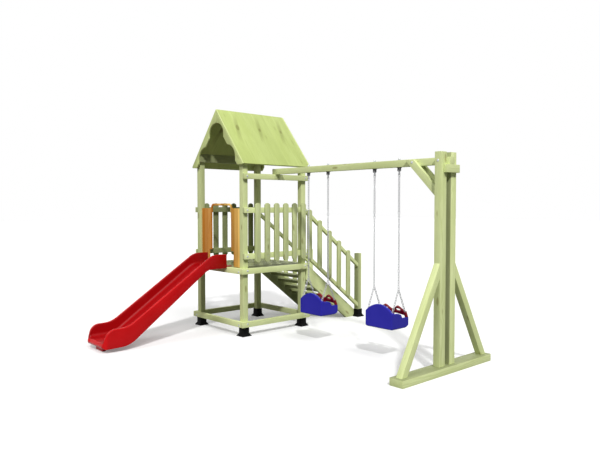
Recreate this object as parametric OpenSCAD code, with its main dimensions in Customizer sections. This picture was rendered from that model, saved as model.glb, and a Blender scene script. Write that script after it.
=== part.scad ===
// Wooden climbing frame: roofed tower with a slide, stairs and a two-seat swing arm.
// Millimetres, +Z up. The slide leaves towards -X, the stairs towards +X, the swing arm towards -Y.

/* [Tower] */
// Spacing of the post centres, the same both ways
tower_w = 1050; // [960:10:1200]
// Side of a square tower post
post_w = 80; // [72:1:92]
// Height of every horizontal rail and fascia
rail_h = 75; // [64:1:88]
// Thickness of every horizontal rail and fascia
rail_t = 48; // [40:1:58]
// How far a rail runs past the post it is bolted to
rail_over = 6; // [0:1:20]
// Height of the deck surface
deck_z = 920; // [860:10:1000]
// Thickness of the deck boards
deck_t = 28; // [22:1:34]
// Gap between deck boards
deck_gap = 5; // [3:1:8]

/* [Shoes] */
// Height of a post shoe
shoe_h = 120; // [90:5:140]
// Wall of a post shoe
shoe_wall = 10; // [6:1:14]
// Width of the flared foot of a shoe
shoe_base = 150; // [130:2:170]
// Floor thickness under the post
shoe_floor = 12; // [8:1:18]
// Gap between a shoe and the base rail above it
base_gap = 6; // [4:1:12]

/* [Fence] */
// Width of a fence picket
picket_w = 85; // [70:1:95]
// Thickness of every picket
picket_t = 28; // [20:1:34]
// Distance of the outer pickets from the post centres
picket_end = 110; // [95:1:130]
// Shift of the fence pickets from the middle towards the stairs
picket_shift = 52; // [30:1:60]
// Height of the picket tops over the deck
fence_h = 883; // [800:5:920]
// Height of the picket bottoms over the deck
picket_low = 75; // [50:1:90]
// Rise of the rounded picket ends
picket_tip = 24; // [14:1:32]
// Height of the upper fence rail over the deck
fence_rail_hi = 748; // [700:2:770]
// Height of the lower fence rail over the deck
fence_rail_lo = 126; // [110:2:150]

/* [Roof] */
// Height of the ridge
ridge_z = 3113; // [3000:1:3200]
// Height of the eaves
eave_z = 2331; // [2290:1:2350]
// How far the eaves stand past the posts, measured level
eave_over = 62; // [40:1:90]
// Thickness of the roof panels
roof_t = 22; // [16:1:28]
// How far the roof panels run past the posts at each gable
gable_over = 25; // [10:1:50]
// Depth of the ridge board
ridge_board_h = 110; // [80:1:130]
// Thickness of the ridge board
ridge_board_t = 28; // [20:1:36]
// Height of the eave plates on the post side
eave_plate_h = 70; // [50:1:90]
// Thickness of the eave plates
eave_plate_t = 40; // [30:1:50]
// Thickness of the barge boards
barge_t = 22; // [16:1:28]
// Width of the barge boards
barge_w = 110; // [100:1:125]
// Distance of the upper scallop from the ridge, along the slope
bite_1_at = 290; // [270:1:310]
// Board width left at the upper scallop
bite_1_left = 48; // [40:1:60]
// Radius of the upper scallop
bite_1_r = 160; // [145:1:170]
// Distance of the lower scallop from the ridge, along the slope
bite_2_at = 710; // [690:1:730]
// Board width left at the lower scallop
bite_2_left = 42; // [36:1:55]
// Radius of the lower scallop
bite_2_r = 190; // [175:1:200]

/* [Slide] */
// Overall width of the slide
slide_w = 500; // [460:2:540]
// Thickness of the slide walls
slide_wall = 34; // [26:1:42]
// Thickness of the slide bed
bed_t = 18; // [14:1:26]
// Height of the rim over the deck at the start
rim_h = 180; // [160:2:200]
// Level run of the slide before it falls
slide_flat = 225; // [200:5:260]
// Reach of the slide from the tower face to its end
slide_reach = 1777; // [1700:5:1900]
// Length of the level run at the exit
exit_run = 320; // [280:5:360]
// Height of the rim at the exit
exit_rim = 286; // [260:2:310]
// Height of the bed at the exit
exit_bed = 132; // [115:1:150]
// Height of the slide's underside at the exit
exit_low = 48; // [40:1:60]
// Lean of the exit edge from the rim to the underside
exit_lean = 45; // [30:1:55]
// Length of the tongue that lies on the deck
tongue = 60; // [40:1:70]

/* [Guard] */
// Thickness of the slide guard
guard_t = 20; // [15:1:25]
// Clear width between the cheeks of the guard
guard_gap = 480; // [440:2:500]
// Height of the cheek tops over the deck
cheek_h = 810; // [760:5:840]
// Height of the arch over the deck
arch_h = 877; // [860:1:900]
// Width of the arched bar
arch_w = 30; // [24:1:40]
// Radius of the arch's rounded corners
arch_round = 68; // [50:1:80]
// Width of the gap beside each slide wall
guard_side = 50; // [30:1:60]
// Height of the cut beside the slide over the deck
guard_cut = 215; // [205:1:240]

/* [Stairs] */
// Level run of the stairs from the tower face to the ground
stair_run = 1187; // [1140:5:1250]
// Upright depth of a stringer
stringer_d = 248; // [220:2:260]
// Thickness of a stringer
stringer_t = 48; // [40:1:54]
// Thickness of a tread
tread_t = 40; // [30:1:45]
// Depth of a tread
tread_d = 148; // [130:1:148]
// Distance of the end posts from the foot of the stairs
end_post_in = 100; // [90:1:120]
// Height of the end posts
end_post_h = 1010; // [980:5:1050]
// Upright height of a sloping rail
slope_rail_h = 61; // [50:1:70]
// Height of the handrail over the stair line
hand_rise = 685; // [660:1:710]
// Height of the lower sloping rail over the stair line
lower_rise = 50; // [48:1:60]
// Spacing of the stair pickets
stair_pitch = 204; // [196:1:210]
// Width of a stair picket
stair_picket_w = 78; // [66:1:88]
// Height of the picket tops over the handrail
stair_tip = 28; // [16:1:34]

/* [Swing arm] */
// Width of the swing beam
beam_w = 76; // [70:1:90]
// Height of the swing beam
beam_h = 78; // [70:1:92]
// Height of the underside of the swing beam
beam_z = 2200; // [2180:1:2215]
// Distance of the support from the tower centre
support_y = 3368; // [3300:2:3450]
// Width of a support post along the stairs direction
support_w = 100; // [84:1:110]
// Depth of a support post along the beam
support_d = 80; // [70:1:90]
// How far the support posts stand over the beam
support_over = 54; // [40:1:70]
// Length of the base plate
plate_l = 1594; // [1560:2:1700]
// Width of the base plate
plate_w = 168; // [160:1:180]
// Height of the base plate
plate_h = 80; // [70:1:90]
// Width of the leaning braces
brace_w = 80; // [70:1:90]
// Depth of the leaning braces along the beam
brace_t = 74; // [60:1:80]
// Distance of the brace feet from the middle
brace_foot = 712; // [690:1:730]
// Height where the braces meet the posts
brace_top = 1090; // [1040:5:1180]
// Width of the knee braces
knee_w = 80; // [66:1:90]
// Thickness of the knee braces
knee_t = 44; // [36:1:56]
// Reach of the knee braces along the beam
knee_run = 308; // [280:2:340]
// Height of the bearing block under the beam end
block_h = 85; // [70:1:95]
// Thickness of the bearing block
block_t = 44; // [36:1:50]
// Length by which the block stops short on the slide side
block_short = 47; // [0:1:55]

/* [Swings] */
// Distance of the inner swing from the tower centre
swing_1_at = 1430; // [1400:2:1500]
// Distance of the outer swing from the tower centre
swing_2_at = 2571; // [2500:2:2600]
// Half the spacing of the two chains of a swing
chain_half = 182; // [178:1:186]
// Drop of the swing pivot under the beam
pivot_drop = 33; // [30:1:40]
// Thickness of the chain runs
chain_d = 8; // [6:1:9]
// Height of the ring where a chain splits
ring_z = 820; // [800:2:850]
// Width of a seat
seat_w = 400; // [392:1:420]
// Depth of the seat behind the chain line
seat_back = 132; // [124:1:138]
// Depth of the seat in front of the chain line
seat_front = 166; // [160:1:172]
// Height of the seat's underside
seat_low = 365; // [350:1:380]
// Height of the top of the arched back
seat_top = 642; // [630:1:660]
// Height of the seat sides
seat_side = 542; // [530:1:550]
// Height of the front lip
seat_lip = 484; // [476:1:492]
// Wall thickness of the moulded seat
seat_wall = 34; // [32:1:38]
// Thickness of the seat pan
seat_pan = 24; // [20:1:30]
// Bore of the bar's eyes, wide enough for a chain
eye_bore = 26; // [24:1:28]
// Thickness of the safety bar
bar_t = 26; // [20:1:30]
// Gap between the safety bar's eyes and the seat's lip
bar_lift = 0.4; // [0.3:0.1:1]

/* [Fixings] */
// Shank of the coach bolts
bolt_d = 10; // [8:1:12]
// Head of the coach bolts
bolt_head = 24; // [20:1:30]
// Depth to which the fence bolts under the last pickets are sunk
bolt_sunk = 8; // [8:1:12]
// Shank of the picket screws
screw_d = 5; // [4:0.5:6]
// Head of the picket screws
screw_head = 10; // [8:0.5:12]
// Clearance of every bore around its bolt or screw
bore_clear = 0.6; // [0.4:0.1:1]
// Gap left where two timbers meet end on
joint = 1; // [0.5:0.5:2]
// Clearance of the swing hooks around their pins
pin_clear = 0.4; // [0.3:0.1:0.6]
// Diameter of the swing pins
pin_d = 10; // [8:1:12]

/* [Hidden] */
$fn = 48;

wood = [0.78, 0.82, 0.55];
half = tower_w / 2;
post_in = half - post_w / 2;
post_out = half + post_w / 2;
face = post_out + rail_t;
rail_end = post_out + rail_over;
picket_out = face + picket_t;
base_z = shoe_h + base_gap;
fascia_z = deck_z - rail_h;
joist_h = rail_h - deck_t;
picket_pitch = (tower_w - picket_end * 2) / 5;
eave_y = post_out + eave_over;
roof_len = (post_out + gable_over) * 2;

// Roof lines: slope, upright thickness and the height of the underside over a given y
slope = (ridge_z - eave_z) / eave_y;
pitch = atan(slope);
roof_up = roof_t / cos(pitch);
function under_z(y) = ridge_z - roof_up - slope * y;
gable = roof_len / 2;
barge_up = barge_w / cos(pitch);
barge_low = eave_z - roof_t * cos(pitch);

// Slide lines, measured from the tower face towards -X
slide_x0 = -face;
slide_x1 = slide_x0 - slide_reach;
rim_z = deck_z + rim_h;
bed_z = deck_z + bed_t;
start_low = deck_z - 15;

// Stair line: the line through the tread edges
rise = deck_z / 8;
stair_slope = deck_z / stair_run;
function stair_z(x) = deck_z - stair_slope * (x - face);
end_x = face + stair_run - end_post_in;
shoe_half = post_w / 2 + shoe_wall;
end_in = post_out - post_w / 2;
end_out = post_out + post_w / 2;
stair_picket_x = face - 19;
rail_split = half + 1;

// Swing arm lines
beam_in = -(post_out - 25);
support_out = -(support_y + support_d / 2);
support_in = -(support_y - support_d / 2);
beam_out = support_out - block_t;
beam_top = beam_z + beam_h;
post_gap = beam_w / 2;
support_x = post_gap + support_w;
support_bolt = support_w + beam_w / 2 - 4;
brace_lean = atan2(brace_top - plate_h, brace_foot - support_x);

// Swing lines: the front chain leg runs from the ring to the lip
pivot_z = beam_z - pivot_drop;
anchor_x = seat_front - 18;
leg_back_x = -(seat_back - seat_wall / 2);
leg_lean = atan2(anchor_x, ring_z - seat_lip);
leg_len = norm([anchor_x, ring_z - seat_lip]);
back_end = seat_back_z(chain_half) - 26;
back_lean = atan2(-leg_back_x, ring_z - back_end);
back_len = norm([leg_back_x, ring_z - back_end]);
ring_r = 15;
wire = 6;
eye_drop = 42;
eye_d = 16;
hook_t = 12;
function seat_back_z(y) = seat_top - (seat_top - seat_side - 8) * pow(y / (seat_w / 2), 2);

// The frame's zero: the middle of the whole object on the ground
x_low = slide_x1;
x_high = end_x + shoe_base / 2;
y_low = min(-(support_y + plate_w / 2), beam_out);
y_high = picket_out;
module at_frame() translate([-(x_low + x_high) / 2, -(y_low + y_high) / 2, 0]) children();

// Shapes drawn in the x-z plane or the y-z plane, and pushed out to a thickness
module xz(y0, y1) translate([0, y1, 0]) rotate([90, 0, 0]) linear_extrude(y1 - y0) children();
module yz(x0, x1) translate([x0, 0, 0]) rotate([90, 0, 90]) linear_extrude(x1 - x0) children();
module box(a, b) translate(a) cube(b - a);
function unit(v) = v / norm(v);
function bend(a, b, c, r, n = 7) =
    let (u = unit(a - b), v = unit(c - b), h = acos(u * v) / 2, m = b + unit(u + v) * r / sin(h),
        p = b + u * r / tan(h), q = b + v * r / tan(h),
        s = atan2(p[1] - m[1], p[0] - m[0]), e = atan2(q[1] - m[1], q[0] - m[0]),
        d = ((e - s + 540) % 360) - 180)
    [for (i = [0:n]) m + r * [cos(s + d * i / n), sin(s + d * i / n)]];

// Fixings: a bolt or screw lies along +Z with its head at the top, z = 0 at the surface
module bolt(deep = rail_t + 30) {
    cylinder(d1 = bolt_head, d2 = bolt_head * 0.72, h = 5);
    translate([0, 0, 5]) cylinder(d1 = bolt_head * 0.72, d2 = bolt_head * 0.36, h = 2.4);
    translate([0, 0, -deep]) cylinder(d = bolt_d, h = deep);
}
module bolt_bore(deep = rail_t + 30) translate([0, 0, -deep - 1]) cylinder(d = bolt_d + bore_clear, h = deep + 10);
module screw() {
    translate([0, 0, -3]) cylinder(d = screw_head, h = 3);
    translate([0, 0, -picket_t - 16]) cylinder(d = screw_d, h = picket_t + 14);
}
module screw_bore() {
    translate([0, 0, -3]) cylinder(d = screw_head + bore_clear, h = 10);
    translate([0, 0, -picket_t - 17]) cylinder(d = screw_d + bore_clear, h = picket_t + 20);
}
module facing_y(x, y, z) translate([x, y, z]) rotate([y < 0 ? 90 : -90, 0, 0]) children();
module facing_x(x, y, z) translate([x, y, z]) rotate([0, x < 0 ? -90 : 90, 0]) children();
module on_y_rails(z, side) for (x = [-half, half]) facing_y(x, side * face, z) children();
module on_x_rails(z, side) for (k = [-1, 1]) facing_x(side * face, k * (side > 0 ? half + 22 : half), z) children();
module on_fence(side) for (h = [fence_rail_hi, fence_rail_lo])
    facing_y(-half, side * face, deck_z + h + rail_h / 2) children();
module under_picket(side) for (h = [fence_rail_hi, fence_rail_lo])
    facing_y(half - 22, side * (face - bolt_sunk), deck_z + h + rail_h / 2) children();
module base_sites() for (s = [-1, 1]) {
    on_y_rails(base_z + rail_h * 0.62, s) children();
    on_x_rails(base_z + rail_h * 0.36, s) children();
}
module fascia_sites() for (s = [-1, 1]) {
    on_y_rails(fascia_z + rail_h * 0.62, s) children();
    on_x_rails(fascia_z + rail_h * 0.36, s) children();
}
module tie_sites() on_y_rails(beam_z - rail_h / 2, -1) children();
module rail_sites(s) for (r = [hand_rise, lower_rise])
    facing_y(half + 14, s * face, stair_z(half + 14) + r + slope_rail_h / 2) children();
module support_sites() for (s = [-1, 1]) facing_x(s * support_x, -support_y, beam_z + beam_h / 2) children();
module knee_sites() for (s = [-1, 1]) facing_x(s * (post_gap + knee_t), support_in + knee_run + 30,
    beam_z + beam_h / 2) children();
module fence_screws(s) for (i = [0:5], h = [fence_rail_hi, fence_rail_lo])
    facing_y((i - 2.5) * picket_pitch + picket_shift, s * picket_out, deck_z + h + rail_h / 2) children();
module stair_screws(s) for (i = [0:4], r = [hand_rise, lower_rise])
    facing_y(stair_picket_x + i * stair_pitch, s * picket_out,
        stair_z(stair_picket_x + i * stair_pitch) + r + slope_rail_h / 2) children();

// Tower posts, cut to the roof's slope
module tower_post(sx, sy) difference() {
    scale([1, sy, 1]) yz(sx * half - post_w / 2, sx * half + post_w / 2)
        polygon([[post_in, shoe_floor], [post_out, shoe_floor], [post_out, under_z(post_out)],
            [post_in, under_z(post_in)]]);
    base_sites() bolt_bore();
    fascia_sites() bolt_bore();
    if (sy < 0) tie_sites() bolt_bore();
    on_fence(sy) bolt_bore();
    under_picket(sy) bolt_bore();
    if (sx > 0) rail_sites(sy) bolt_bore();
}
module post_slide_near() color(wood) at_frame() tower_post(-1, -1);
module post_slide_far() color(wood) at_frame() tower_post(-1, 1);
module post_stair_near() color(wood) at_frame() tower_post(1, -1);
module post_stair_far() color(wood) at_frame() tower_post(1, 1);

// Post shoes: a flared foot and a box around the post end
module shoe(x, y) translate([x, y, 0]) difference() {
    union() {
        hull() {
            translate([-shoe_base / 2, -shoe_base / 2, 0]) cube([shoe_base, shoe_base, 6]);
            translate([-shoe_half, -shoe_half, 0]) cube([shoe_half * 2, shoe_half * 2, shoe_h / 3]);
        }
        translate([-shoe_half, -shoe_half, 0]) cube([shoe_half * 2, shoe_half * 2, shoe_h]);
    }
    translate([-post_w / 2, -post_w / 2, shoe_floor]) cube([post_w, post_w, shoe_h]);
}
module tower_shoes() color([0.05, 0.05, 0.05]) at_frame() for (x = [-half, half], y = [-half, half]) shoe(x, y);

// Rings of rails: two long ones lap the posts, two short ones sit between them
module long_rails(z, x1) for (s = [-1, 1])
    box([-face, min(s * post_out, s * face), z], [x1, max(s * post_out, s * face), z + rail_h]);
module short_rails(z) for (s = [-1, 1])
    box([min(s * post_out, s * face), -post_out + joint, z], [max(s * post_out, s * face), post_out - joint, z + rail_h]);
module base_rails() color(wood) at_frame() difference() {
    union() {
        long_rails(base_z, face);
        short_rails(base_z);
    }
    base_sites() bolt_bore();
}
module deck_fascias() color(wood) at_frame() difference() {
    union() {
        long_rails(fascia_z, post_out);
        short_rails(fascia_z);
    }
    fascia_sites() bolt_bore();
}

// Deck: joists between the fascias, boards along the way to the slide
module deck_joists() color(wood) at_frame() {
    for (s = [-1, 1]) {
        box([min(s * (post_out - rail_t), s * post_out), -post_in, fascia_z],
            [max(s * (post_out - rail_t), s * post_out), post_in, fascia_z + joist_h]);
        box([s * tower_w / 5 - rail_t / 2, -post_out, fascia_z],
            [s * tower_w / 5 + rail_t / 2, post_out, fascia_z + joist_h]);
    }
}
deck_pitch = post_in * 2 / 9;
module deck_boards() color(wood) at_frame() {
    for (i = [0:8])
        box([-post_out, -post_in + i * deck_pitch + deck_gap / 2, deck_z - deck_t],
            [post_out, -post_in + (i + 1) * deck_pitch - deck_gap / 2, deck_z]);
    for (s = [-1, 1])
        box([-post_in + 2, min(s * (post_in + deck_gap / 2), s * (post_out - 2)), deck_z - deck_t],
            [post_in - 2, max(s * (post_in + deck_gap / 2), s * (post_out - 2)), deck_z]);
}

// Fences on the two long sides: two rails and six pickets with rounded ends
module picket(x, w, z0, z1, s) xz(min(s * face, s * picket_out), max(s * face, s * picket_out))
    polygon(concat([for (i = [-4:4]) [x + i / 8 * w, z1 - picket_tip * i * i / 16]],
        [for (i = [-4:4]) [x - i / 8 * w, z0 + picket_tip * i * i / 16]]));
module fence_rails(s) difference() {
    for (h = [fence_rail_hi, fence_rail_lo])
        box([-rail_end, min(s * post_out, s * face), deck_z + h],
            [half - 1, max(s * post_out, s * face), deck_z + h + rail_h]);
    on_fence(s) bolt_bore();
    under_picket(s) {
        bolt_bore();
        cylinder(d = bolt_head + bore_clear, h = bolt_sunk + 1);
    }
    fence_screws(s) screw_bore();
}
module fence_pickets(s) difference() {
    for (i = [0:5])
        picket((i - 2.5) * picket_pitch + picket_shift, picket_w, deck_z + picket_low, deck_z + fence_h, s);
    fence_screws(s) screw_bore();
}
module fence_rails_near() color(wood) at_frame() fence_rails(-1);
module fence_rails_far() color(wood) at_frame() fence_rails(1);
module fence_pickets_near() color(wood) at_frame() fence_pickets(-1);
module fence_pickets_far() color(wood) at_frame() fence_pickets(1);

// Tie rail under the near eaves, which carries the swing beam
module tie_rail_near() color(wood) at_frame() difference() {
    box([-rail_end, -face, beam_z - rail_h], [rail_end, -post_out, beam_z]);
    tie_sites() bolt_bore();
}

// Roof: two steep panels, a ridge board, plates along the eaves and scalloped barge boards
module roof_panel(s) scale([1, s, 1]) yz(-gable, gable)
    polygon([[0, ridge_z], [eave_y, eave_z], [eave_y - roof_t * sin(pitch), barge_low], [0, under_z(0)]]);
module roof_panel_near() color(wood) at_frame() roof_panel(-1);
module roof_panel_far() color(wood) at_frame() roof_panel(1);
module ridge_board() color(wood) at_frame() yz(-gable, gable)
    polygon([[-ridge_board_t / 2, under_z(0) - ridge_board_h], [ridge_board_t / 2, under_z(0) - ridge_board_h],
        [ridge_board_t / 2, under_z(ridge_board_t / 2)], [0, under_z(0)],
        [-ridge_board_t / 2, under_z(ridge_board_t / 2)]]);
module eave_plates() color(wood) at_frame() for (s = [-1, 1]) scale([1, s, 1]) yz(-gable, gable)
    polygon([[post_in - eave_plate_t, under_z(post_in) - eave_plate_h], [post_in, under_z(post_in) - eave_plate_h],
        [post_in, under_z(post_in)], [post_in - eave_plate_t, under_z(post_in - eave_plate_t)]]);
module bite(along, narrow, r)
    translate([along * cos(pitch) - (narrow + r) * sin(pitch), ridge_z - along * sin(pitch) - (narrow + r) * cos(pitch)])
        circle(r);
module barge_pair(x0) for (s = [-1, 1]) scale([1, s, 1]) yz(x0, x0 + barge_t) difference() {
    polygon([[joint, ridge_z - slope * joint], [eave_y, eave_z], [eave_y - roof_t * sin(pitch), barge_low],
        [(ridge_z - barge_up - barge_low) / slope, barge_low], [joint, ridge_z - barge_up - slope * joint]]);
    bite(bite_1_at, bite_1_left, bite_1_r);
    bite(bite_2_at, bite_2_left, bite_2_r);
}
module barge_boards_slide() color(wood) at_frame() barge_pair(-gable - barge_t);
module barge_boards_stair() color(wood) at_frame() barge_pair(gable);

// Slide: a moulded trough with a level start, a long fall and a level run-out
fall_x0 = slide_x0 - slide_flat;
fall_x1 = slide_x1 + exit_run;
fall = (rim_z - exit_rim) / (fall_x0 - fall_x1);
rim_line = concat([[slide_x0, rim_z]],
    bend([slide_x0, rim_z], [fall_x0, rim_z], [fall_x1, exit_rim], 240),
    bend([fall_x0, rim_z], [fall_x1, exit_rim], [slide_x1 + exit_lean, exit_rim], 330),
    bend([fall_x1, exit_rim], [slide_x1 + exit_lean, exit_rim], [slide_x1, exit_low], 105));
low_line = concat(
    bend([slide_x1 + exit_lean, exit_rim], [slide_x1, exit_low], [fall_x1 + 20, exit_low + 8], 24),
    bend([slide_x1, exit_low], [fall_x1 + 20, exit_low + 8], [fall_x0 - 70, start_low], 330),
    bend([fall_x1 + 20, exit_low + 8], [fall_x0 - 70, start_low], [slide_x0, start_low], 200),
    [[slide_x0, start_low]]);
bed_x0 = fall_x0 - 28;
bed_x1 = fall_x1 + 28;
bed_top = concat([[slide_x0 + tongue + rail_t, bed_z]],
    bend([slide_x0, bed_z], [bed_x0, bed_z], [bed_x1, exit_bed], 260),
    bend([bed_x0, bed_z], [bed_x1, exit_bed], [slide_x1 + 24, exit_bed - 4], 330),
    [[slide_x1 + 24, exit_bed - 4]]);
bed_low = [for (i = [len(bed_top) - 1:-1:0]) bed_top[i] - [0, bed_t]];
module slide_chute() color([0.75, 0.08, 0.1]) at_frame() {
    for (s = [-1, 1]) xz(min(s * (slide_w / 2 - slide_wall), s * slide_w / 2),
        max(s * (slide_w / 2 - slide_wall), s * slide_w / 2)) polygon(concat(rim_line, low_line));
    xz(-slide_w / 2 + slide_wall, slide_w / 2 - slide_wall) polygon(concat(bed_top, bed_low));
    box([slide_x1 + 24, -slide_w / 2 + slide_wall, exit_low], [slide_x1 + 48, slide_w / 2 - slide_wall, exit_bed - 5]);
    box([slide_x1 + 60, -slide_w / 5, 0], [slide_x1 + 100, slide_w / 5, exit_bed - bed_t / 2]);
}

// Slide guard: two cheeks and an arched bar, cut in one plate
arch_out = guard_gap / 2 + arch_w / 2;
arch_foot = deck_z + cheek_h - 60;
function arch_line(a, low, top, r) = concat([[a, low]], bend([a, low], [a, top], [-a, top], r),
    bend([a, top], [-a, top], [-a, low], r), [[-a, low]]);
module slide_guard() color([0.9, 0.5, 0.15]) at_frame() yz(-half - guard_t / 2, -half + guard_t / 2) difference() {
    union() {
        for (y = [-post_in, guard_gap / 2]) translate([y, deck_z]) square([post_in - guard_gap / 2, cheek_h]);
        difference() {
            polygon(arch_line(arch_out, arch_foot, deck_z + arch_h, arch_round));
            polygon(arch_line(arch_out - arch_w, arch_foot - 1, deck_z + arch_h - arch_w, arch_round - arch_w));
        }
    }
    translate([-slide_w / 2 - guard_side, deck_z - 1]) square([slide_w + guard_side * 2, guard_cut + 1]);
}
module guard_battens() color(wood) at_frame() for (s = [-1, 1])
    box([-half + guard_t / 2, min(s * (post_in - 32), s * post_in), deck_z],
        [-half + guard_t / 2 + 32, max(s * (post_in - 32), s * post_in), deck_z + cheek_h - 40]);

// Stairs: two stringers, seven open treads, end posts and railings
module stringer(s) xz(min(s * (end_in - stringer_t), s * end_in), max(s * (end_in - stringer_t), s * end_in))
    polygon([[face, deck_z], [face, deck_z - stringer_d], [face + stair_run - stringer_d / stair_slope, 0],
        [face + stair_run - 32, 0], [face + stair_run - 32, stair_z(face + stair_run - 32)]]);
module stair_stringer_near() color(wood) at_frame() stringer(-1);
module stair_stringer_far() color(wood) at_frame() stringer(1);
module stair_treads() color(wood) at_frame() for (i = [1:7])
    box([face + (deck_z - i * rise) / stair_slope - tread_d, -end_in + stringer_t, i * rise - tread_t],
        [face + (deck_z - i * rise) / stair_slope, end_in - stringer_t, i * rise]);
module stair_post(s) box([end_x - post_w / 2, min(s * end_in, s * end_out), shoe_floor],
    [end_x + post_w / 2, max(s * end_in, s * end_out), end_post_h]);
module stair_post_near() color(wood) at_frame() stair_post(-1);
module stair_post_far() color(wood) at_frame() stair_post(1);
module stair_shoes() color([0.05, 0.05, 0.05]) at_frame() difference() {
    for (y = [-post_out, post_out]) shoe(end_x, y);
    box([face, -end_in - joint, -1], [face + stair_run * 2, end_in + joint, shoe_h * 2]);
}
module slope_rail(s, r, x1) xz(min(s * post_out, s * face), max(s * post_out, s * face))
    polygon([[rail_split, stair_z(rail_split) + r], [x1, stair_z(x1) + r], [x1, stair_z(x1) + r + slope_rail_h],
        [rail_split, stair_z(rail_split) + r + slope_rail_h]]);
module stair_rails(s) difference() {
    union() {
        slope_rail(s, hand_rise, end_x - post_w / 2);
        slope_rail(s, lower_rise, end_x - post_w / 2);
    }
    rail_sites(s) bolt_bore();
    stair_screws(s) screw_bore();
}
module stair_pickets(s) difference() {
    for (i = [0:4]) picket(stair_picket_x + i * stair_pitch, stair_picket_w,
        stair_z(stair_picket_x + i * stair_pitch) + lower_rise + 2,
        stair_z(stair_picket_x + i * stair_pitch) + hand_rise + slope_rail_h + stair_tip, s);
    stair_screws(s) screw_bore();
}
module stair_rails_near() color(wood) at_frame() stair_rails(-1);
module stair_rails_far() color(wood) at_frame() stair_rails(1);
module stair_pickets_near() color(wood) at_frame() stair_pickets(-1);
module stair_pickets_far() color(wood) at_frame() stair_pickets(1);

// Swing arm: beam, twin support posts, bearing block, base plate and braces
hang_at = [for (c = [swing_1_at, swing_2_at], k = [-1, 1]) -c + k * chain_half];
module swing_beam() color(wood) at_frame() difference() {
    box([-beam_w / 2, beam_out, beam_z], [beam_w / 2, beam_in, beam_top]);
    for (y = hang_at) translate([0, y, beam_z - 1]) cylinder(d = 12 + bore_clear, h = beam_h + 2);
    support_sites() bolt_bore(support_bolt);
    knee_sites() bolt_bore();
}
module support_post(s) difference() {
    box([min(s * post_gap, s * support_x), support_out, plate_h],
        [max(s * post_gap, s * support_x), support_in, beam_top + support_over]);
    support_sites() bolt_bore(support_bolt);
}
module support_post_slide() color(wood) at_frame() support_post(-1);
module support_post_stair() color(wood) at_frame() support_post(1);
module support_block() color(wood) at_frame()
    box([block_short - support_x, support_out - block_t, beam_z - block_h], [support_x, support_out, beam_z]);
module base_plate() color(wood) at_frame()
    box([-plate_l / 2, -support_y - plate_w / 2, 0], [plate_l / 2, -support_y + plate_w / 2, plate_h]);
module brace(s) scale([s, 1, 1]) xz(-support_y - brace_t / 2, -support_y + brace_t / 2)
    polygon([[brace_foot - brace_w / 2 / sin(brace_lean), plate_h], [brace_foot + brace_w / 2 / sin(brace_lean), plate_h],
        [support_x, brace_top + brace_w / 2 / cos(brace_lean)], [support_x, brace_top - brace_w / 2 / cos(brace_lean)]]);
module brace_slide() color(wood) at_frame() brace(-1);
module brace_stair() color(wood) at_frame() brace(1);
module knee(s) difference() {
    yz(min(s * post_gap, s * (post_gap + knee_t)), max(s * post_gap, s * (post_gap + knee_t)))
        polygon([[support_in, beam_z - knee_run - knee_w * 0.7071], [support_in, beam_z - knee_run + knee_w * 0.7071],
            [support_in + knee_run + beam_h - 8 - knee_w * 0.7071, beam_top - 8],
            [support_in + knee_run + beam_h - 8 + knee_w * 0.7071, beam_top - 8]]);
    knee_sites() bolt_bore();
}
module knee_slide() color(wood) at_frame() knee(-1);
module knee_stair() color(wood) at_frame() knee(1);

// Hangers: a bolt through the beam, a black yoke under it and a pin across the yoke
module hanger_bolts() color([0.6, 0.6, 0.62]) at_frame() for (y = hang_at) translate([0, y, 0]) {
    translate([0, 0, beam_z - 2]) cylinder(d = 12, h = beam_h + 12);
    translate([0, 0, beam_top]) cylinder(d = 40, h = 4);
    translate([0, 0, beam_top + 4]) cylinder(d = 24, h = 12);
    translate([0, 0, beam_top + 16]) intersection() {
        sphere(d = 24);
        translate([0, 0, 12]) cube(24, center = true);
    }
    translate([0, -20, pivot_z]) rotate([-90, 0, 0]) cylinder(d = pin_d, h = 40);
}
module hanger_yokes() color([0.05, 0.05, 0.05]) at_frame() for (y = hang_at) translate([0, y, 0]) difference() {
    union() {
        translate([-20, -22, beam_z - 6]) cube([40, 44, 6]);
        for (s = [-1, 1]) {
            translate([-13, s * 14 - 3.5, pivot_z]) cube([26, 7, beam_z - pivot_z - 4]);
            translate([0, s * 14 - 3.5, pivot_z]) rotate([-90, 0, 0]) cylinder(d = 26, h = 7);
        }
    }
    translate([0, 0, beam_z - 2]) cylinder(d = 12, h = 4);
    translate([0, -30, pivot_z]) rotate([-90, 0, 0]) cylinder(d = pin_d, h = 60);
}

// Coach bolts and picket screws, each group one piece per fixing
module coach_bolts() color([0.6, 0.6, 0.62]) at_frame() {
    base_sites() bolt();
    fascia_sites() bolt();
    support_sites() bolt(support_bolt);
    knee_sites() bolt();
    tie_sites() bolt();
    for (s = [-1, 1]) {
        on_fence(s) bolt();
        under_picket(s) bolt();
        rail_sites(s) bolt();
    }
}
module picket_screws() color([0.6, 0.6, 0.62]) at_frame() for (s = [-1, 1]) {
    fence_screws(s) screw();
    stair_screws(s) screw();
}

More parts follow.
